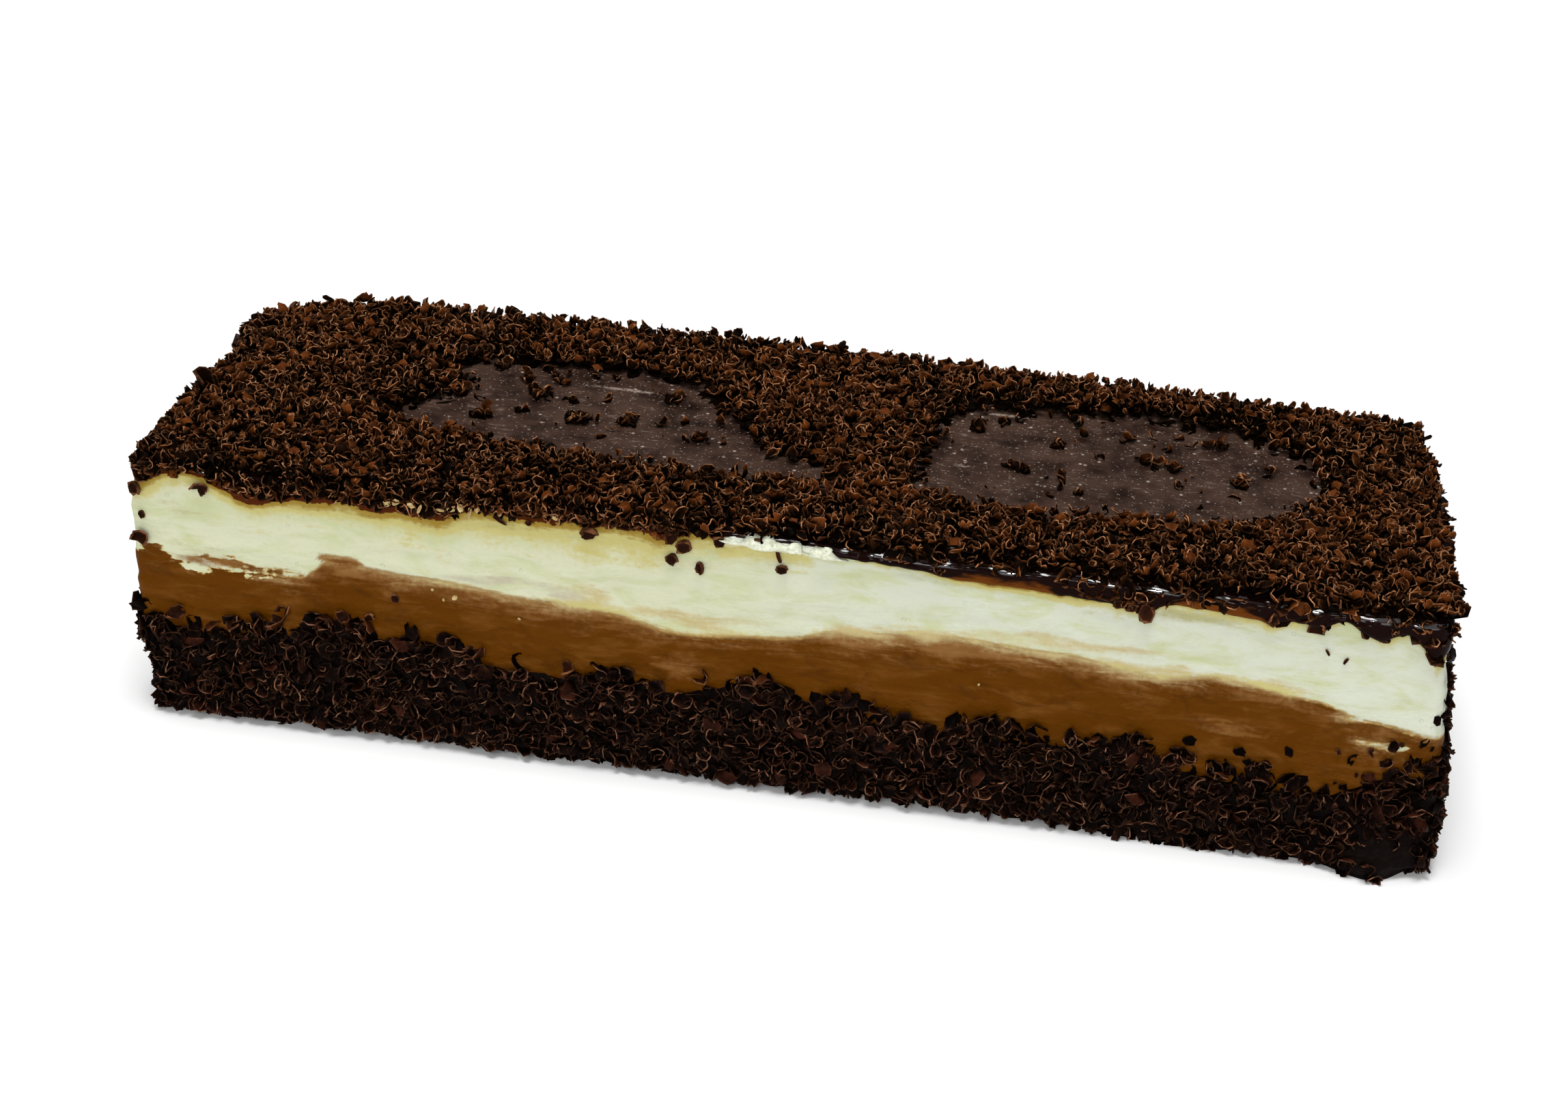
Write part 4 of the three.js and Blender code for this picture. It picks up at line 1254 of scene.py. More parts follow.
@dataclass(frozen=True)
class FlakeShape:
    """Sizes of a kind of flake, each a range to draw from, in millimetres and radians."""

    length: tuple[float, float]
    width: tuple[float, float]
    curl: tuple[float, float] = (0.6, 2.6)
    thickness: tuple[float, float] = (0.2, 0.34)
    ruffle: float = 0.22
    twist: float = 0.7
    cup: tuple[float, float] = (-0.12, 0.3)
    taper: tuple[float, float] = (0.72, 0.98)
    skew: tuple[float, float] = (-0.3, 0.3)
    roughness: float = 0.035
    stations: tuple[int, int] = (5, 3)

    @property
    def side_faces(self) -> int:
        """Number of faces on each side of a flake."""
        return (self.stations[0] - 1) * (self.stations[1] - 1)

    def sheets(self, rng: np.random.Generator, count: int) -> np.ndarray:
        """Curled sheets round the origin: an arc along the length, cupped, twisted and ruffled across.

        The width tapers as an oval towards both ends, and every point is moved a little, most at the rim.

        Args:
            rng: Source of the draws.
            count: Number of flakes.

        Returns:
            Points of each flake's upper and lower face: flakes, faces, stations along, across, axes.
        """
        n_along, n_across = self.stations

        def draw(low: float, high: float) -> np.ndarray:
            """One number for each flake."""
            return rng.uniform(low, high, count)[:, None, None]

        u = -0.5 * np.cos(np.linspace(0.0, math.pi, n_along))[None, :, None]
        v = np.linspace(-1.0, 1.0, n_across)[None, None, :]
        length, width = draw(*self.length), draw(*self.width)
        curl = draw(*self.curl)
        radius = length / curl
        angle = u * curl
        taper = np.sqrt(1 - draw(*self.taper) * np.abs(2 * u) ** 2.4)
        taper = taper + rng.uniform(-0.08, 0.08, (count, n_along, 1))
        across = v * width / 2 * taper + draw(*self.skew) * width * u
        cup = draw(*self.cup) * width * v ** 2
        wave = self.ruffle * np.sin(draw(5, 11) * u + draw(0, 2 * math.pi) + 1.4 * v) * np.abs(v)
        along = radius * np.sin(angle)
        rise = radius * (1 - np.cos(angle)) * np.ones_like(v) + cup + wave
        turn = draw(-self.twist, self.twist) * 2 * u
        sheet = np.stack([along * np.ones_like(v), across * np.cos(turn) - rise * np.sin(turn),
                          across * np.sin(turn) + rise * np.cos(turn)], -1)
        edge = np.ones((n_along, n_across))
        edge[1:-1, 1:-1] = 0.25
        jitter = rng.normal(0.0, 1.0, sheet.shape) * edge[None, :, :, None]
        sheet = sheet + jitter * self.roughness * width[..., None]
        normal = np.cross(np.gradient(sheet, axis=1), np.gradient(sheet, axis=2))
        normal /= np.linalg.norm(normal, axis=-1, keepdims=True) + 1e-9
        half = draw(*self.thickness)[..., None] / 2
        return np.stack([sheet + normal * half, sheet - normal * half], 1)

    def faces(self) -> np.ndarray:
        """Faces of one flake: both sides of the sheet and the strip round its rim."""
        n_along, n_across = self.stations
        index = np.arange(2 * n_along * n_across).reshape(2, n_along, n_across)
        top = np.stack(
            [index[0, :-1, :-1], index[0, 1:, :-1], index[0, 1:, 1:], index[0, :-1, 1:]], -1).reshape(-1, 4)
        bottom = (top + n_along * n_across)[:, ::-1]
        rim = np.concatenate(
            [index[:, :, 0], index[:, -1, 1:], index[:, -2::-1, -1], index[:, 0, -2:0:-1]], axis=1)
        following = np.roll(rim, -1, axis=1)
        strip = np.stack([rim[1], following[1], following[0], rim[0]], 1)
        return np.concatenate([top, bottom, strip])

    def rim(self) -> np.ndarray:
        """1 at a flake's rim points and 0 at its inner ones, on both sides."""
        edge = np.ones(self.stations)
        edge[1:-1, 1:-1] = 0.0
        return np.concatenate([edge.ravel(), edge.ravel()])

    def outer_faces(self) -> np.ndarray:
        """1 for the faces of a flake's outer side and 0 for the others."""
        side = self.side_faces
        return np.repeat([0.0, 1.0, 0.0], [side, side, len(self.faces()) - 2 * side])

    def edge_faces(self) -> np.ndarray:
        """1 for the faces of the strip round a flake's rim and 0 for the others."""
        both = 2 * self.side_faces
        return np.repeat([0.0, 1.0], [both, len(self.faces()) - both])

    def rim_labels(self) -> np.ndarray:
        """1 at the rim of a flake's upper face, 2 at the rim of its lower face and 0 inside."""
        return self.rim() * np.repeat([1, 2], self.stations[0] * self.stations[1])


def turned(points: np.ndarray, tilt: np.ndarray, rng: np.random.Generator) -> np.ndarray:
    """Spins flakes about their own normal, tilts them and turns them to any side.

    Args:
        points: Flakes' points: flakes, points, axes.
        tilt: Tilt of each flake from flat.
        rng: Source of the two turns.

    Returns:
        The turned points.
    """
    count = len(points)
    spin, azimuth = rng.uniform(0, 2 * math.pi, (2, count))
    zero, one = np.zeros(count), np.ones(count)

    def about_z(angle: np.ndarray) -> np.ndarray:
        """Turns about Z, one for each flake."""
        cos, sin = np.cos(angle), np.sin(angle)
        return np.stack([cos, -sin, zero, sin, cos, zero, zero, zero, one], -1).reshape(-1, 3, 3)

    cos, sin = np.cos(tilt), np.sin(tilt)
    about_y = np.stack([cos, zero, sin, zero, one, zero, -sin, zero, cos], -1).reshape(-1, 3, 3)
    return np.einsum("nij,npj->npi", about_z(azimuth) @ about_y @ about_z(spin), points)


@dataclass(frozen=True)
class Layer:
    """How one kind of flake lies: its shape, tilt, seat and tone, and the share turned over as domes.

    The count is about how many of them a coat scatters.
    """

    shape: FlakeShape
    tilt: tuple[float, float]
    seat: tuple[float, float]
    tone: tuple[float, float]
    domed: float = 0.05
    count: int = 0


@dataclass
class Coat:
    """Flakes settled on a surface, gathered until they are made one piece.

    None rises past the reach. The rise span gives the heights between which the finish paints a flake from
    its hollow shade to fully lit.
    """

    finish: bpy.types.Material
    reach: float
    rise_span: tuple[float, float] = (-0.6, 1.5)
    points: list[np.ndarray] = field(default_factory=list)
    faces: list[np.ndarray] = field(default_factory=list)
    rims: list[np.ndarray] = field(default_factory=list)
    labels: list[np.ndarray] = field(default_factory=list)
    outers: list[np.ndarray] = field(default_factory=list)
    edges: list[np.ndarray] = field(default_factory=list)
    tones: list[np.ndarray] = field(default_factory=list)
    rises: list[np.ndarray] = field(default_factory=list)
    point_count: int = 0

    def settle(self, rng: np.random.Generator, layer: Layer, places: np.ndarray,
               normals: np.ndarray | Place, scale: np.ndarray | float = 1.0) -> None:
        """Adds flakes, each turned at random and sunk so that its lowest point lies at its seat.

        Args:
            rng: Source of the draws.
            layer: The kind of flake and how it lies.
            places: Places on the surface, in millimetres.
            normals: The surface's outward normals there, or one for all of them.
            scale: Size of each flake against its shape's sizes.
        """
        count = len(places)
        if not count:
            return
        normals = np.broadcast_to(normals, places.shape)
        tilt = rng.uniform(*layer.tilt, count)
        tilt = np.where(rng.uniform(0.0, 1.0, count) < layer.domed, math.pi - tilt, tilt)
        local = turned(layer.shape.sheets(rng, count).reshape(count, -1, 3), tilt, rng)
        local = local * np.reshape(scale, (-1, 1, 1))
        low, high = local[..., 2].min(1), local[..., 2].max(1)
        seat = rng.uniform(*layer.seat, count)
        lift = np.minimum(seat - low, self.reach * rng.uniform(0.55, 1.0, count) - high)
        local[..., 2] += lift[:, None]
        helper = np.where(np.abs(normals[:, 2:]) > 0.7, [[1.0, 0.0, 0.0]], [[0.0, 0.0, 1.0]])
        side = np.cross(helper, normals)
        side /= np.linalg.norm(side, axis=1, keepdims=True)
        axes = np.stack([side, np.cross(normals, side), normals], 1)
        placed = np.einsum("npi,nij->npj", local, axes) + places[:, None, :]
        placed[..., 2] = np.maximum(placed[..., 2], 0.0)
        per_flake = placed.shape[1]
        starts = self.point_count + per_flake * np.arange(count)
        sunk, risen = self.rise_span
        self.points.append(placed.reshape(-1, 3))
        self.faces.append((layer.shape.faces()[None] + starts[:, None, None]).reshape(-1, 4))
        self.rims.append(np.tile(layer.shape.rim(), count))
        self.labels.append(np.tile(layer.shape.rim_labels(), count))
        self.outers.append(np.tile(layer.shape.outer_faces(), count))
        self.edges.append(np.tile(layer.shape.edge_faces(), count))
        self.tones.append(np.repeat(rng.uniform(*layer.tone, count), per_flake))
        self.rises.append(np.clip((local[..., 2].ravel() - sunk) / (risen - sunk), 0.0, 1.0))
        self.point_count += per_flake * count

    def build(self, name: str, slot: str = "flake_coat") -> bpy.types.Object:
        """Joins the flakes into one piece that rides on the cake."""
        mesh = Mesh(np.concatenate(self.points), [np.concatenate(self.faces)],
                    {"rim": np.concatenate(self.rims), "tone": np.concatenate(self.tones),
                     "rise": np.concatenate(self.rises)},
                    {"outer": np.concatenate(self.outers), "edge": np.concatenate(self.edges)},
                    np.concatenate(self.labels))
        piece = mesh.build(name, self.finish)
        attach(piece, "root")
        LOG.info("%s: %d points, %d faces", name, self.point_count, len(mesh.faces[0]))
        return piece


def scattered(rng: np.random.Generator, width: float, height: float, count: int) -> np.ndarray:
    """Places spread over a rectangle: one at random in each cell of a square grid.

    Args:
        rng: Source of the draws.
        width: The rectangle's width.
        height: The rectangle's height.
        count: About how many places to make.

    Returns:
        The places as pairs of distances from the rectangle's corner.
    """
    cell = math.sqrt(width * height / count)
    columns, rows = max(1, round(width / cell)), max(1, round(height / cell))
    grid = np.stack(np.meshgrid(np.arange(columns), np.arange(rows), indexing="ij"), -1).reshape(-1, 2)
    return (grid + rng.uniform(0.0, 1.0, grid.shape)) * (width / columns, height / rows)


SHELL = FlakeShape((2.8, 5.0), (1.9, 3.2), (1.5, 3.6), (0.16, 0.28), cup=(0.12, 0.5), stations=(7, 3))
WIDE_SHELL = FlakeShape((3.4, 6.0), (2.6, 4.2), (1.2, 3.0), (0.18, 0.3), cup=(0.1, 0.4), stations=(6, 3))
STRIP = FlakeShape((3.2, 6.0), (1.0, 1.9), (1.4, 3.4), (0.18, 0.3), twist=0.9, ruffle=0.12)
CHIP = FlakeShape((1.2, 2.6), (0.8, 1.8), (0.4, 1.8), (0.2, 0.32), stations=(3, 3))
SLAB = FlakeShape((3.6, 6.0), (2.8, 4.4), (0.3, 1.3), stations=(3, 3))
CURL = FlakeShape((4.8, 6.0), (3.0, 3.8), (2.2, 3.2), (0.4, 0.6))
CHUNK = FlakeShape((3.0, 4.0), (2.6, 3.4), (0.3, 1.0), (0.8, 1.3), ruffle=0.15, twist=0.3, stations=(4, 3))
SLIVER = FlakeShape((2.6, 3.4), (0.8, 1.2), (0.2, 0.8), (0.3, 0.5), ruffle=0.1)


@dataclass
class TopCoat:
    """Flakes on the glaze: a bed of flat ones, darkened by low tones as painted shade, under standing shells,
    strips and chips.
    """

    form: CakeForm
    finish: bpy.types.Material
    parts: int = 3
    reach: float = 2.9
    lift: float = 0.4
    back_lift: float = 1.2
    sink: float = 2.2
    shrink: float = 0.25
    stray_share: float = 0.02
    edge_strays: float = 0.2
    overhang: float = 0.4
    spare: float = 1.3
    bare_rim: tuple[float, float] = (-15.0, 70.0)
    first_seed: int = 100
    layers: tuple[Layer, ...] = (
        # the flat bed takes only low tones: painted shade in the coat's depths, on top of its own random tone
        Layer(SLAB, (0.1, 0.6), (-2.3, -1.7), (0.0, 0.3), 0.0, count=620),
        Layer(SHELL, (0.2, 1.3), (-1.7, -0.1), (0.0, 1.0), count=1480),
        Layer(STRIP, (0.2, 1.5), (-0.8, 0.5), (0.1, 1.0), count=200),
        Layer(CHIP, (0.2, 1.5), (-0.9, 1.0), (0.1, 1.0), count=480))
    edge_noise: Grain = field(default_factory=lambda: Grain(83))

    def kept(self, x: np.ndarray, y: np.ndarray, rng: np.random.Generator) -> np.ndarray:
        """Which places carry flakes: none in the bare patches, few on the bare stretch of the rim."""
        ragged = self.edge_noise.swing(x / 6, y / 6, 3)
        bare = self.form.is_bare(x + 2.6 * ragged, y + 2.0 * self.edge_noise.swing(x / 6 + 30, y / 6, 3))
        rim_from, rim_to = self.bare_rim
        rim = ease((x - rim_from) / 3) * ease((rim_to - x) / 8)
        rim = rim * ease((self.form.front + 1.4 + 0.5 * ragged - y) / 1.5)
        chance = rng.uniform(0.0, 1.0, (2, len(x)))
        strays = self.stray_share + self.edge_strays * (1 - self.bare_beside(x, y, 5.0))
        keep = np.where(bare, chance[0] < strays, chance[0] > 0.5 * self.bare_beside(x, y, 3.0))
        return keep & (rim < 0.3 + 0.7 * chance[1])

    def bare_beside(self, x: np.ndarray, y: np.ndarray, reach: float) -> np.ndarray:
        """Share of each place's four neighbours at a distance that lie in a bare patch."""
        steps = [(reach, 0.0), (-reach, 0.0), (0.0, reach), (0.0, -reach)]
        return np.mean([self.form.is_bare(x + dx, y + dy) for dx, dy in steps], axis=0)

    def inside_plan(self, x: np.ndarray, y: np.ndarray) -> np.ndarray:
        """Whether places lie on the cake: by the far left corner's radius, both ends and the bowed back."""
        form = self.form
        radius = form.corner_radii[3]
        dx, dy = form.left_end + radius - x, y - form.back + radius
        in_corner = (dx > 0) & (dy > 0) & (np.hypot(dx, dy) > radius)
        left, right = form.left_end + form.dish_at(y), form.right_end - form.taper_at(y) - 0.8
        return ~in_corner & (y < form.back + form.bow_at(x) - 0.2) & (x > left) & (x < right)

    def build(self) -> list[bpy.types.Object]:
        """Makes the coat's parts, from left to right."""
        form = self.form
        span, height = form.length / self.parts, form.depth + form.back_bow + self.overhang
        pieces = []
        for part in range(self.parts):
            coat = Coat(self.finish, self.reach)
            rng = np.random.default_rng(self.first_seed + part)
            low_x = mix(form.left_end, form.right_end, part / self.parts)
            for layer in self.layers:
                place = scattered(rng, span, height, int(layer.count * self.spare))
                x, y = low_x + place[:, 0], form.front - self.overhang + place[:, 1]
                inside = self.inside_plan(x, y) & self.kept(x, y, rng)
                x, y = x[inside], y[inside]
                beside = (self.bare_beside(x, y, 3.0) + self.bare_beside(x, y, 6.0)) / 2
                lift = mix(self.lift, self.back_lift, ease((y - 15) / 30)) - self.sink * beside
                places = np.stack([x, y, form.top_level(x, y) + lift], 1)
                coat.settle(rng, layer, places, UP, 1 - self.shrink * beside)
            pieces.append(coat.build(f"top_flakes_{part + 1}"))
        return pieces


@dataclass
class RimCoat:
    """Flakes that hang over the glaze's rim, from the edge of the top down to the lip."""

    form: CakeForm
    finish: bpy.types.Material
    front_cover: Line = (
        (-151, 1.0), (-143, 0.9), (-139, 0.3), (-133, 0.3), (-128, 1.0), (-25, 1.0), (-18, 0.4), (-12, 0.0),
        (14, 0.0), (25, 0.05), (60, 0.1), (66, 0.35), (86, 0.4), (90, 0.15), (108, 0.15), (112, 0.4),
        (118, 0.55), (146, 0.6), (151, 0.8))
    layers: tuple[Layer, ...] = (
        # the flat bed takes only low tones: painted shade in the coat's depths, on top of its own random tone
        Layer(SLAB, (0.1, 0.7), (-0.9, -0.4), (0.0, 0.3), 0.0, count=520),
        Layer(SHELL, (0.1, 1.3), (-0.8, 0.0), (0.0, 0.9), count=900),
        Layer(CHIP, (0.2, 1.5), (-0.4, 0.3), (0.2, 1.0), count=520))
    spacing: float = 1.0
    drop: float = 6.0
    reach: float = 2.1
    rise_span: tuple[float, float] = (-0.6, 1.3)
    seed: int = 300
    gaps: Grain = field(default_factory=lambda: Grain(97))

    def build(self) -> bpy.types.Object:
        """Makes the coat: flakes that face up at the rim's edge, turn outwards and thin out downwards."""
        form = self.form
        outline = form.outline(self.spacing)
        coat = Coat(self.finish, self.reach, self.rise_span)
        rng = np.random.default_rng(self.seed)
        for layer in self.layers:
            place = scattered(rng, outline.length, self.drop, layer.count)
            run, down = place[:, 0], place[:, 1] / self.drop
            plan, normals = outline.sample(run)
            elsewhere = 0.75 + 0.5 * self.gaps.swing(run / 13, run / 90)
            cover = mix(elsewhere, eased_line(self.front_cover, plan[:, 0]), form.front_share(plan[:, 1]))
            cover = cover + (1 - cover) * 0.85 * ease((0.42 - down) / 0.25)
            top = form.top_level(*plan.T) - form.bare_depth * 0.6 + 0.9
            lip = form.lip_height(*plan.T) + 0.6 + 0.8 * self.gaps.swing(run / 4, run / 50, 2)
            z = mix(top, lip, down)
            angle = math.pi / 2 * ease(1 - down * 2.2)
            keep = cover > rng.uniform(0.0, 1.0, len(z))
            places = form.raised(plan + normals * (0.4 - 1.2 * (1 - np.cos(angle)))[:, None], z)
            outward = np.column_stack([normals * np.cos(angle)[:, None], np.sin(angle)])
            coat.settle(rng, layer, places[keep], outward[keep])
        return coat.build("rim_flakes")


@dataclass
class BandCoat:
    """Flakes round the base and on the lower right end, under a ragged upper line."""

    form: CakeForm
    finish: bpy.types.Material
    parts: int = 2
    layers: tuple[Layer, ...] = (
        # the flat bed takes only low tones: painted shade in the coat's depths, on top of its own random tone
        Layer(SLAB, (0.1, 0.6), (-0.6, -0.1), (0.0, 0.3), count=900),
        Layer(WIDE_SHELL, (0.1, 1.0), (-0.6, 0.3), (0.0, 1.0), count=1260),
        Layer(STRIP, (0.2, 1.2), (-0.2, 0.5), (0.1, 1.0), count=120),
        Layer(CHIP, (0.1, 1.3), (-0.2, 0.8), (0.1, 1.0), count=420))
    heaps: Line = (
        (-151, 30.5), (-146, 28.5), (-139, 26.5), (-134, 24), (-127, 31), (-121, 32), (-114, 29), (-107, 34),
        (-102, 34), (-96, 31), (-91, 28), (-87, 31.5), (-81, 30.5), (-75, 34), (-71, 27.5), (-65, 24.5),
        (-62, 27.5), (-55, 23), (-50, 23), (-45, 26.5), (-39, 30), (-33, 29), (-28, 26.5), (-22, 22.5),
        (-17, 26), (-12, 29), (-4, 33.5), (1, 30.5), (7, 25), (11, 29), (19, 30), (26, 25.5), (31, 27.2),
        (38, 25.5), (44, 28.5), (52, 29.5), (61, 28), (66, 26), (74, 27.5), (83, 30), (90, 25.5), (94, 26),
        (98, 21), (102, 25.5), (107, 22.5), (113, 23.5), (121, 21), (128, 20), (136, 25), (143, 28),
        (147, 32.5), (151, 35))
    sparse: Line = ((-151, 0.2), (-60, 0.2), (90, 0.3), (100, 1.0), (138, 1.0), (151, 0.5))
    speckle: Line = ((-151, 0.0), (92, 0.0), (100, 0.16), (112, 0.26), (140, 0.32), (151, 0.34))
    edge_noise: Grain = field(default_factory=lambda: Grain(91))
    highest: float = 58.0
    spacing: float = 1.0
    reach: float = 2.6
    rise_span: tuple[float, float] = (-0.7, 1.5)
    first_seed: int = 200
    spare: float = 2.1
    shrink: float = 0.4
    right_end_line: float = 56.0
    right_end_cover: float = 0.4
    lump_cover: float = 0.4

    def on_front(self, plan: np.ndarray) -> np.ndarray:
        """1 on the cake's front and 0 elsewhere."""
        return self.form.front_share(plan[:, 1], 5.0)

    def upper_line(self, plan: np.ndarray) -> np.ndarray:
        """Height that the band reaches: the heaps' on the front and the form's own line elsewhere."""
        heaped = eased_line(self.heaps, plan[:, 0]) - 1.0
        return mix(self.form.flake_line(*plan.T) + 0.2, heaped, self.on_front(plan))

    def kept(self, plan: np.ndarray, normals: np.ndarray, z: np.ndarray,
             rng: np.random.Generator) -> np.ndarray:
        """Which places carry flakes.

        They are those below the ragged line, a few specks above it, some on the right end up to its own
        line, and fewer on the foot's lump.

        Args:
            plan: Places on the outline.
            normals: The outline's normals there.
            z: Heights of the places.
            rng: Source of the draws.

        Returns:
            True for each place that keeps its flake.
        """
        form = self.form
        x, y = plan.T
        ragged = self.edge_noise.swing(run_along(x, y) / 5, z / 9, 2)
        on_front = self.on_front(plan)
        line = self.upper_line(plan)
        chance = rng.uniform(0.0, 1.0, len(z))
        spread = 4.5 * eased_line(self.sparse, x) * on_front
        below = z < line + (1.3 - 0.7 * on_front) * ragged + spread * (chance ** 2 - 0.3)
        speckled = eased_line(self.speckle, x) * on_front * (1 - (z - line) / 12) > chance
        on_right_end = (normals[:, 0] > 0.8) & (z < self.right_end_line + 4 * ragged)
        lump_x, half, top, _ = form.foot_lump
        on_lump = (np.abs(x - lump_x) < half * 0.95) & (y < form.front + 1) & (z < top - 1 + 2 * ragged)
        carried = below | speckled | (on_right_end & (chance < self.right_end_cover))
        return carried & ~(on_lump & (chance > self.lump_cover))

    def build(self) -> list[bpy.types.Object]:
        """Makes the coat in parts along the outline."""
        form = self.form
        outline = form.outline(self.spacing)
        stretch = outline.length / self.parts
        pieces = []
        for part in range(self.parts):
            coat = Coat(self.finish, self.reach, self.rise_span)
            rng = np.random.default_rng(self.first_seed + part)
            for layer in self.layers:
                place = scattered(rng, stretch, self.highest, int(layer.count * self.spare))
                plan, normals = outline.sample(part * stretch + place[:, 0])
                z = place[:, 1]
                fits = self.kept(plan, normals, z, rng)
                plan, normals, z = plan[fits], normals[fits], z[fits]
                places = form.raised(plan + normals * (0.2 + form.base_outset(*plan.T, z))[:, None], z)
                apart = ease((z - self.upper_line(plan) - 1.5) / 2) * self.on_front(plan)
                outward = np.column_stack([normals, np.zeros(len(z))])
                coat.settle(rng, layer, places, outward, 1 - self.shrink * apart)
            pieces.append(coat.build(f"band_flakes_{part + 1}"))
        return pieces


@dataclass
class TornStrip:
    """The white cream torn up over the glaze's front rim: a ragged strip with fibrous relief."""

    form: CakeForm
    start: float = -14.5
    end: float = 15.5
    low: float = 65.3
    high: float = 68.9
    depth: float = 1.3
    back_depth: float = 1.4
    end_drop: float = 1.4
    nick: tuple[float, float, float] = (0.64, 0.7, 0.35)  # from, to, and the share left
    stations: tuple[int, int] = (150, 24)
    fibres: Grain = field(default_factory=lambda: Grain(61))

    def _surface(self) -> np.ndarray:
        """Points of the strip: an oval section carried along the rim, whose height and depth change along it.

        The strip tapers at both ends, thins at its nick, drops towards its right end and leans back with
        the rim above it.

        Returns:
            The points: stations along, stations round, axes.
        """
        n_along, n_round = self.stations
        x = np.linspace(self.start, self.end, n_along)[:, None]
        share = (x - self.start) / (self.end - self.start)
        angle = 2 * math.pi * np.arange(n_round)[None, :] / n_round
        nick_from, nick_to, nick_share = self.nick
        taper = np.clip(np.sin(math.pi * share) * 2.2, 0.0, 1.0) ** 0.5
        taper = taper * (0.72 + 0.4 * self.fibres.swing(x / 3.4, x * 0, 2))
        nicked = np.where((share > nick_from) & (share < nick_to), nick_share, 1.0)
        taper = np.clip(taper, 0.0, 1.0) * nicked
        taper[[0, -1]] = 0.02
        low = self.low - 0.3 * self.fibres.swing(x / 2.2 + 9, x * 0 + 4, 2) + 0.6 * (1 - taper) - 1.2 * share
        high = self.low + (self.high - self.low) * taper
        high = high + 0.5 * self.fibres.swing(x / 1.6 + 30, x * 0, 2) * taper
        high = np.maximum(high - self.end_drop * share, low + 0.1)
        z = mix(low, high, 0.5 - 0.5 * np.cos(angle))
        lump = 1 + 0.45 * self.fibres.swing(x / 1.9 + z / 3, z / 0.7, 2)
        out = self.depth * taper * np.abs(np.sin(angle)) ** 0.7 * lump
        leaned = np.clip((z - 66.0) / 2.4, 0.0, 1.0) ** 2 * 1.2
        y = self.form.front - 0.3 + leaned - np.where(np.sin(angle) > 0, out, -self.back_depth * taper)
        return np.stack([self.form.profiled(x, z) * np.ones_like(z), y, z], -1)

    def build(self) -> bpy.types.Object:
        """Makes the strip, closed by a fan of triangles at each end.

        Returns:
            The linked piece.
        """
        n_along, n_round = self.stations
        points = self._surface()
        index = np.arange(n_along * n_round).reshape(n_along, n_round)
        middles = np.array([points[0].mean(0), points[-1].mean(0)])
        caps = [np.stack([np.roll(ring, -1), ring, np.full(n_round, index.size + end)], 1)
                for end, ring in enumerate((index[0], index[-1, ::-1]))]
        mesh = Mesh(np.vstack([points.reshape(-1, 3), middles]), [wall_quads(index), *caps])
        piece = mesh.build("torn_strip", TORN_CREAM.material())
        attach(piece, "root")
        return piece


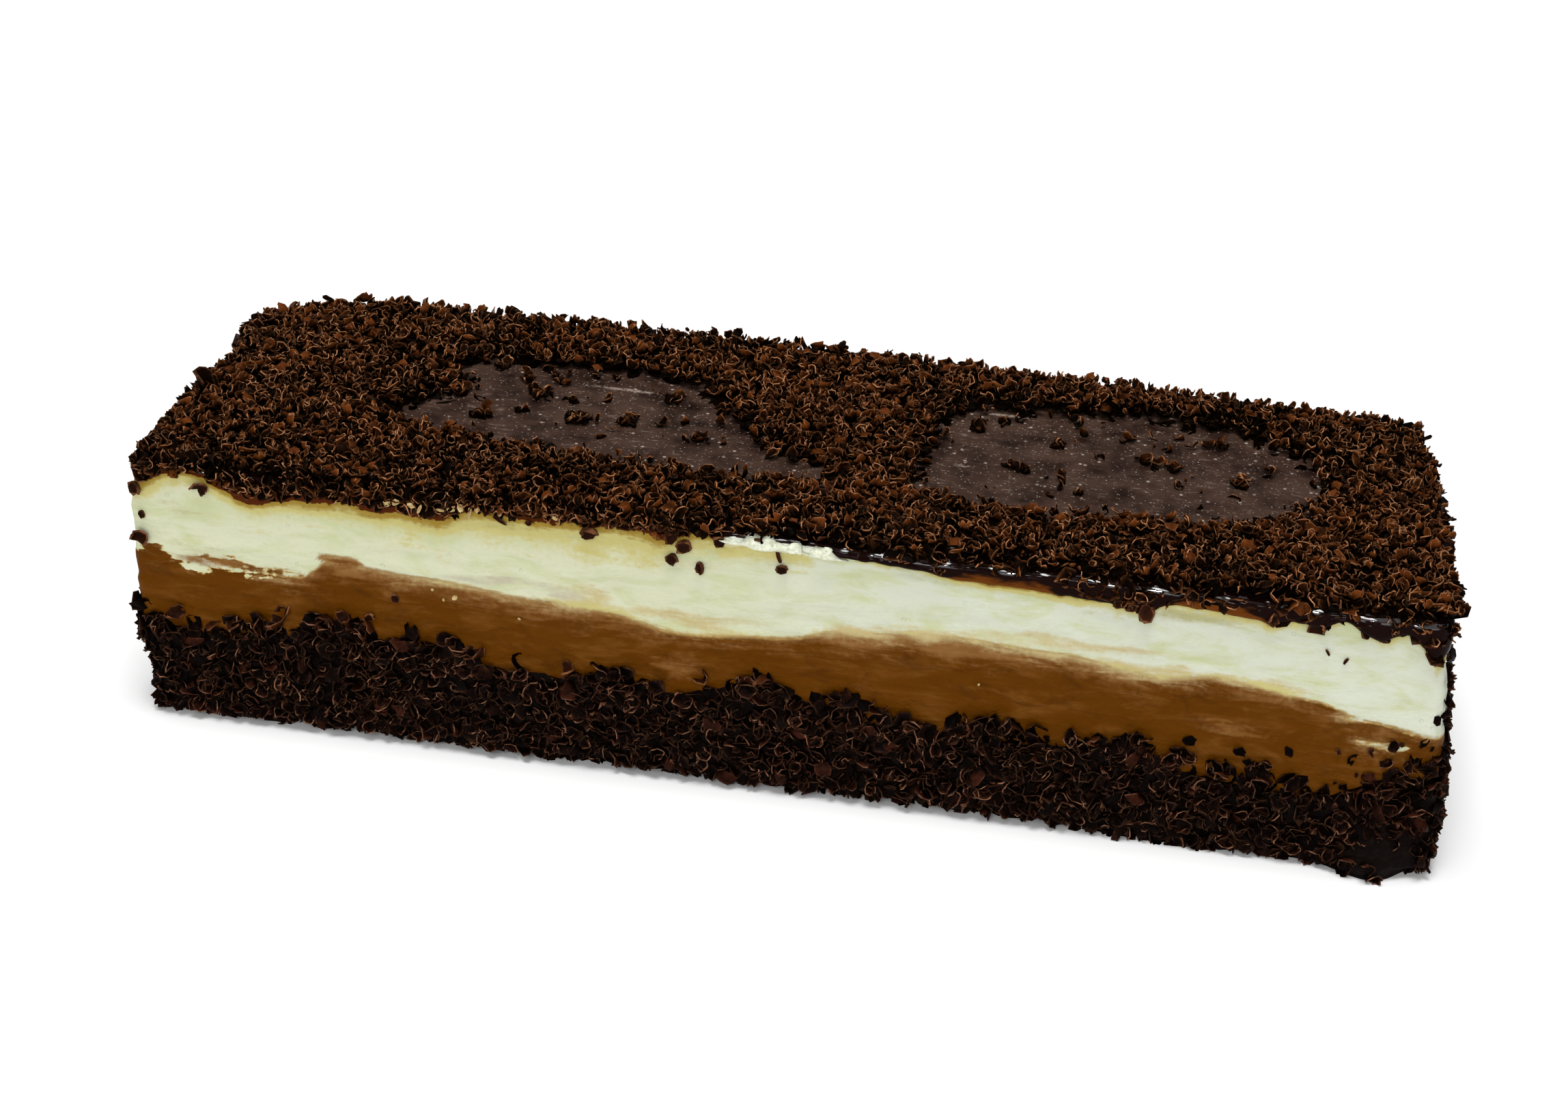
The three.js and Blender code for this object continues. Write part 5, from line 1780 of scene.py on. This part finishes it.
@dataclass
class Strays:
    """Chips, curls and cream crumbs that lie apart: on the front, the bare glaze and the edges of the top.

    A clump is given by the x and y of its middle and the number of flakes that it has of each shape.
    """

    form: CakeForm
    finish: bpy.types.Material
    on_front: tuple[tuple[FlakeShape, Spots], ...] = (
        (CURL, ((-135.0, 63.3, 1.0), (-148.6, 48.3, 0.9), (-14.1, 66.2, 0.85), (109.7, 63.3, 0.8),
                (120.6, 62.2, 0.9))),
        (CHUNK, ((-150.0, 60.8, 0.8), (-147.6, 53.9, 0.5), (-57.9, 64.2, 0.45), (-43.9, 63.7, 1.05),
                 (-24.8, 65.6, 0.9), (-22.1, 63.2, 0.95), (-24.6, 59.5, 0.8), (-18.1, 58.1, 0.75),
                 (0.5, 60.4, 0.75), (-5.0, 66.9, 0.6), (-3.0, 66.0, 0.4), (76.1, 62.2, 0.65),
                 (79.0, 61.8, 0.7), (82.3, 60.9, 1.1), (135.2, 61.8, 0.8), (-89.5, 40.1, 0.65),
                 (-95.7, 34.0, 0.7), (140.5, 35.0, 0.4), (134.0, 32.5, 0.5), (127.5, 31.0, 0.45))),
        (SLIVER, ((-64.5, 63.9, 1.1), (-0.4, 63.6, 0.9), (123.2, 56.3, 0.55), (127.4, 54.6, 0.65),
                  (-30.0, 66.4, 1.0))))
    clumps: tuple[tuple[float, float, int], ...] = (
        (-81, 23, 4), (-69, 9.7, 5), (-56, -2.2, 5), (-80, -5.6, 3), (-88, 6.5, 3), (-45, -0.4, 4),
        (-28, -5.3, 2), (-60, 7.4, 2), (-71, 0.3, 1), (-32, 1.4, 1), (-36, 14, 2), (-74, 16, 2),
        (-64, 16.5, 1), (49, 0.4, 3), (58, 13.7, 2), (81, 9.9, 3), (86, 9.3, 2), (102, 4.2, 4), (38, 18.7, 3),
        (74, 20.3, 1), (58, -4.6, 1), (96, 24, 2), (64, -10.5, 1), (110, 14, 1), (45, 22, 1))
    clump_shapes: tuple[FlakeShape, ...] = (SHELL, CURL, CHIP)
    clump_size: float = 0.75
    clump_spread: float = 1.1
    standing: Spots = (
        (-149.4, -8.0, 1.5), (-135, 43, 0.9), (-112, 46.5, 1.0), (-86, 48, 0.9), (-77, 47, 0.9),
        (-27, 48, 1.0), (20, 48, 0.9))
    band_curls: tuple[tuple[FlakeShape, Spots], ...] = (
        (WIDE_SHELL, ((-142.0, 27.6, 1.1), (-133.0, 26.6, 1.2), (-122.5, 28.4, 1.2), (-116.5, 29.8, 1.3),
                      (-107.0, 32.4, 1.3), (-96.0, 32.0, 1.2), (-70.0, 26.8, 1.1), (-16.0, 28.4, 1.2),
                      (-2.0, 31.4, 1.2), (24.0, 26.4, 1.2), (96.0, 23.8, 1.1), (104.0, 22.2, 1.1))),
        (CURL, ((-128.0, 27.4, 0.9), (-102.0, 33.0, 0.8), (-48.0, 26.6, 0.9), (46.0, 25.2, 0.9),
                (74.0, 26.6, 0.9))))
    rim_crumbs: tuple[tuple[FlakeShape, Spots], ...] = (
        (CHUNK, ((-88.6, 66.0, 0.5), (-85.0, 65.6, 0.4), (-73.4, 66.6, 0.5), (-69.6, 66.4, 0.35),
                 (-51.5, 66.9, 0.35))),
        (CURL, ((-90.6, 65.4, 0.4), (-75.6, 65.8, 0.42), (-64.4, 66.4, 0.3))),
        (SLIVER, ((-83.0, 65.0, 0.8), (-71.4, 65.4, 0.9), (-78.2, 65.2, 0.7))))
    crumbs: Spots = (
        (-80.6, 43.4, 0.26), (-75.3, 42.0, 0.34), (-78.0, 41.0, 0.2), (-60.0, 38.5, 0.2), (47.1, 36.5, 0.16))
    rim_out: float = 1.3
    band_out: float = 0.9
    band_tilt: tuple[float, float] = (0.7, 1.3)
    chip_reach: float = 3.2
    clump_reach: float = 3.4
    curl_reach: float = 9.0
    crumb_reach: float = 2.0
    chip_rise: tuple[float, float] = (-2.5, -0.5)
    top_rise: tuple[float, float] = (-0.2, 2.4)
    seed: int = 400

    def settle_front(self, coat: Coat, rng: np.random.Generator, shape: FlakeShape, spots: Spots,
                     out: float = 0.3, tilt: tuple[float, float] = (0.1, 0.5)) -> None:
        """Lays pieces on the front face.

        Args:
            coat: The coat that takes them.
            rng: Source of the draws.
            shape: Their shape.
            spots: The x, height and size of each.
            out: How far before the front they lie.
            tilt: Range of their tilt from flat.
        """
        x, z, scale = np.array(spots, float).T
        places = np.stack([self.form.profiled(x, z), np.full(len(x), self.form.front - out), z], 1)
        coat.settle(rng, Layer(shape, tilt, (-0.5, -0.2), (0.3, 0.9)), places, OUT_OF_FRONT, scale)

    def stand_curls(self, coat: Coat, rng: np.random.Generator) -> None:
        """Stands curls on edge along the left and back edges of the top."""
        x, y, scale = np.array(self.standing, float).T
        places = np.stack([x, y, self.form.top_level(x, y) + 0.6], 1)
        coat.settle(rng, Layer(CURL, (1.1, 1.5), (-0.6, -0.2), (0.0, 0.3), 0.0), places, UP, scale)

    def drop_clumps(self, coat: Coat, rng: np.random.Generator) -> None:
        """Drops small clumps on the bare patches, each of a few places spread about its middle."""
        centres = np.repeat(np.array(self.clumps)[:, :2], [clump[2] for clump in self.clumps], axis=0)
        for shape in self.clump_shapes:
            x, y = (centres + rng.normal(0.0, self.clump_spread, centres.shape)).T
            places = np.stack([x, y, self.form.bare_level(x, y)], 1)
            coat.settle(rng, Layer(shape, (0.2, 1.2), (-0.4, 0.3), (0.1, 0.8)), places, UP, self.clump_size)

    def build(self) -> list[bpy.types.Object]:
        """Makes the dark pieces and the cream crumbs."""
        rng = np.random.default_rng(self.seed)
        dark = Coat(STRAY_CHIP.material(), self.chip_reach, self.chip_rise)
        flakes = Coat(self.finish, self.clump_reach, self.top_rise)
        tall = Coat(self.finish, self.curl_reach, self.top_rise)
        pale = Coat(CREAM_CRUMB.material(), self.crumb_reach)
        self.stand_curls(tall, rng)
        for shape, spots in self.on_front:
            self.settle_front(dark, rng, shape, spots)
        self.drop_clumps(flakes, rng)
        self.settle_front(pale, rng, CHUNK, self.crumbs)
        for shape, spots in self.rim_crumbs:
            self.settle_front(pale, rng, shape, spots, self.rim_out)
        for shape, spots in self.band_curls:
            self.settle_front(dark, rng, shape, spots, self.band_out, self.band_tilt)
        return [dark.build("stray_chips"), flakes.build("patch_flakes"), tall.build("edge_curls"),
                pale.build("cream_crumbs", "white_cream")]


@dataclass(frozen=True)
class Lamp:
    """A square soft light that faces the cake, in metres and watts."""

    name: str
    place: Place
    size: float
    power: float

    def build(self, target: Place) -> None:
        """Adds the lamp, turned to face its target."""
        data = bpy.data.lights.new(self.name, "AREA")
        data.size = self.size
        data.energy = self.power
        lamp = bpy.data.objects.new(self.name, data)
        away = np.array(self.place) - np.array(target)
        away /= np.linalg.norm(away)
        side = np.cross([0.0, 1.0, 0.0], away)
        side /= np.linalg.norm(side)
        turn = np.stack([side, np.cross(away, side), away], 1)
        lamp.matrix_world = Matrix.Translation(self.place) @ Matrix([list(row) for row in turn]).to_4x4()
        bpy.context.scene.collection.objects.link(lamp)


@dataclass
class Studio:
    """The plain floor, soft light and the photograph's camera."""

    floor_half: float = 6.0
    floor_drop: float = 0.02
    elevation: float = 29.232
    yaw: float = 7.25
    roll: float = 3.442
    place: Place = (65.03, -552.01, 349.01)
    lens: float = 59.772
    sensor: float = 36.0
    farthest: float = 50.0
    lamps: tuple[Lamp, ...] = (
        Lamp("overhead", (-0.15, -0.8, 5.2), 2.4, 213.0), Lamp("front", (-0.6, -4.9, 3.6), 2.6, 104.0),
        Lamp("sparkle", (0.3, -4.7, 0.75), 0.32, 38.0))
    lit_place: Place = (0.0, 0.0, 0.03)
    room_light: float = 0.33

    def camera(self) -> None:
        """Sets the camera: its axes are worked out from its yaw, elevation and roll."""
        yaw, elevation, roll = (math.radians(angle) for angle in (self.yaw, self.elevation, self.roll))
        forward = np.array([-math.sin(yaw) * math.cos(elevation), math.cos(yaw) * math.cos(elevation),
                            -math.sin(elevation)])
        level = np.array([math.cos(yaw), math.sin(yaw), 0.0])
        upright = np.cross(level, forward)
        right = level * math.cos(roll) + upright * math.sin(roll)
        up = -level * math.sin(roll) + upright * math.cos(roll)
        data = bpy.data.cameras.new("camera")
        data.lens = self.lens
        data.sensor_width = self.sensor
        data.sensor_fit = "HORIZONTAL"
        data.clip_end = self.farthest
        seat = bpy.data.objects.new("camera", data)
        turn = np.stack([right, up, -forward], 1)
        seat.matrix_world = (Matrix.Translation((np.array(self.place) + AXES_SHIFT) * MM)
                             @ Matrix([list(row) for row in turn]).to_4x4())
        bpy.context.scene.collection.objects.link(seat)
        bpy.context.scene.camera = seat

    def floor(self) -> None:
        """Lays the pale floor."""
        half = self.floor_half / MM
        low = -self.floor_drop
        corners = np.array([[-half, -half, low], [half, -half, low], [half, half, low], [-half, half, low]])
        floor = Mesh(corners, [np.array([[0, 1, 2, 3]])])
        floor.build("floor", FloorFinish().material(), smooth=False)

    def room(self) -> None:
        """Fills the room with plain white light and shows colours as they are."""
        world = bpy.data.worlds.new("soft_room")
        world.use_nodes = True
        background = world.node_tree.nodes["Background"]
        background.inputs["Color"].default_value = (1.0, 1.0, 1.0, 1.0)
        background.inputs["Strength"].default_value = self.room_light
        bpy.context.scene.world = world
        bpy.context.scene.view_settings.view_transform = "Standard"

    def build(self) -> None:
        """Makes the camera, the floor, the lamps and the room's light."""
        self.camera()
        self.floor()
        for lamp in self.lamps:
            lamp.build(self.lit_place)
        self.room()


def main() -> None:
    """Builds the cake from its base up, then its studio."""
    logging.basicConfig(level=logging.INFO, format="%(name)s: %(message)s")
    form = CakeForm()
    pieces = [BaseCore(form).build(), *Creams(form).build(), Glaze(form).build()]
    for piece in pieces:
        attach(piece, "root")
        LOG.info("%s: %d points", piece.name, len(piece.data.vertices))
    flakes = TOP_FLAKE.material()
    TopCoat(form, flakes).build()
    RimCoat(form, flakes).build()
    BandCoat(form, SHADED_BAND_FLAKE.material()).build()
    TornStrip(form).build()
    Strays(form, flakes).build()
    Studio().build()


if __name__ == "__main__":
    main()
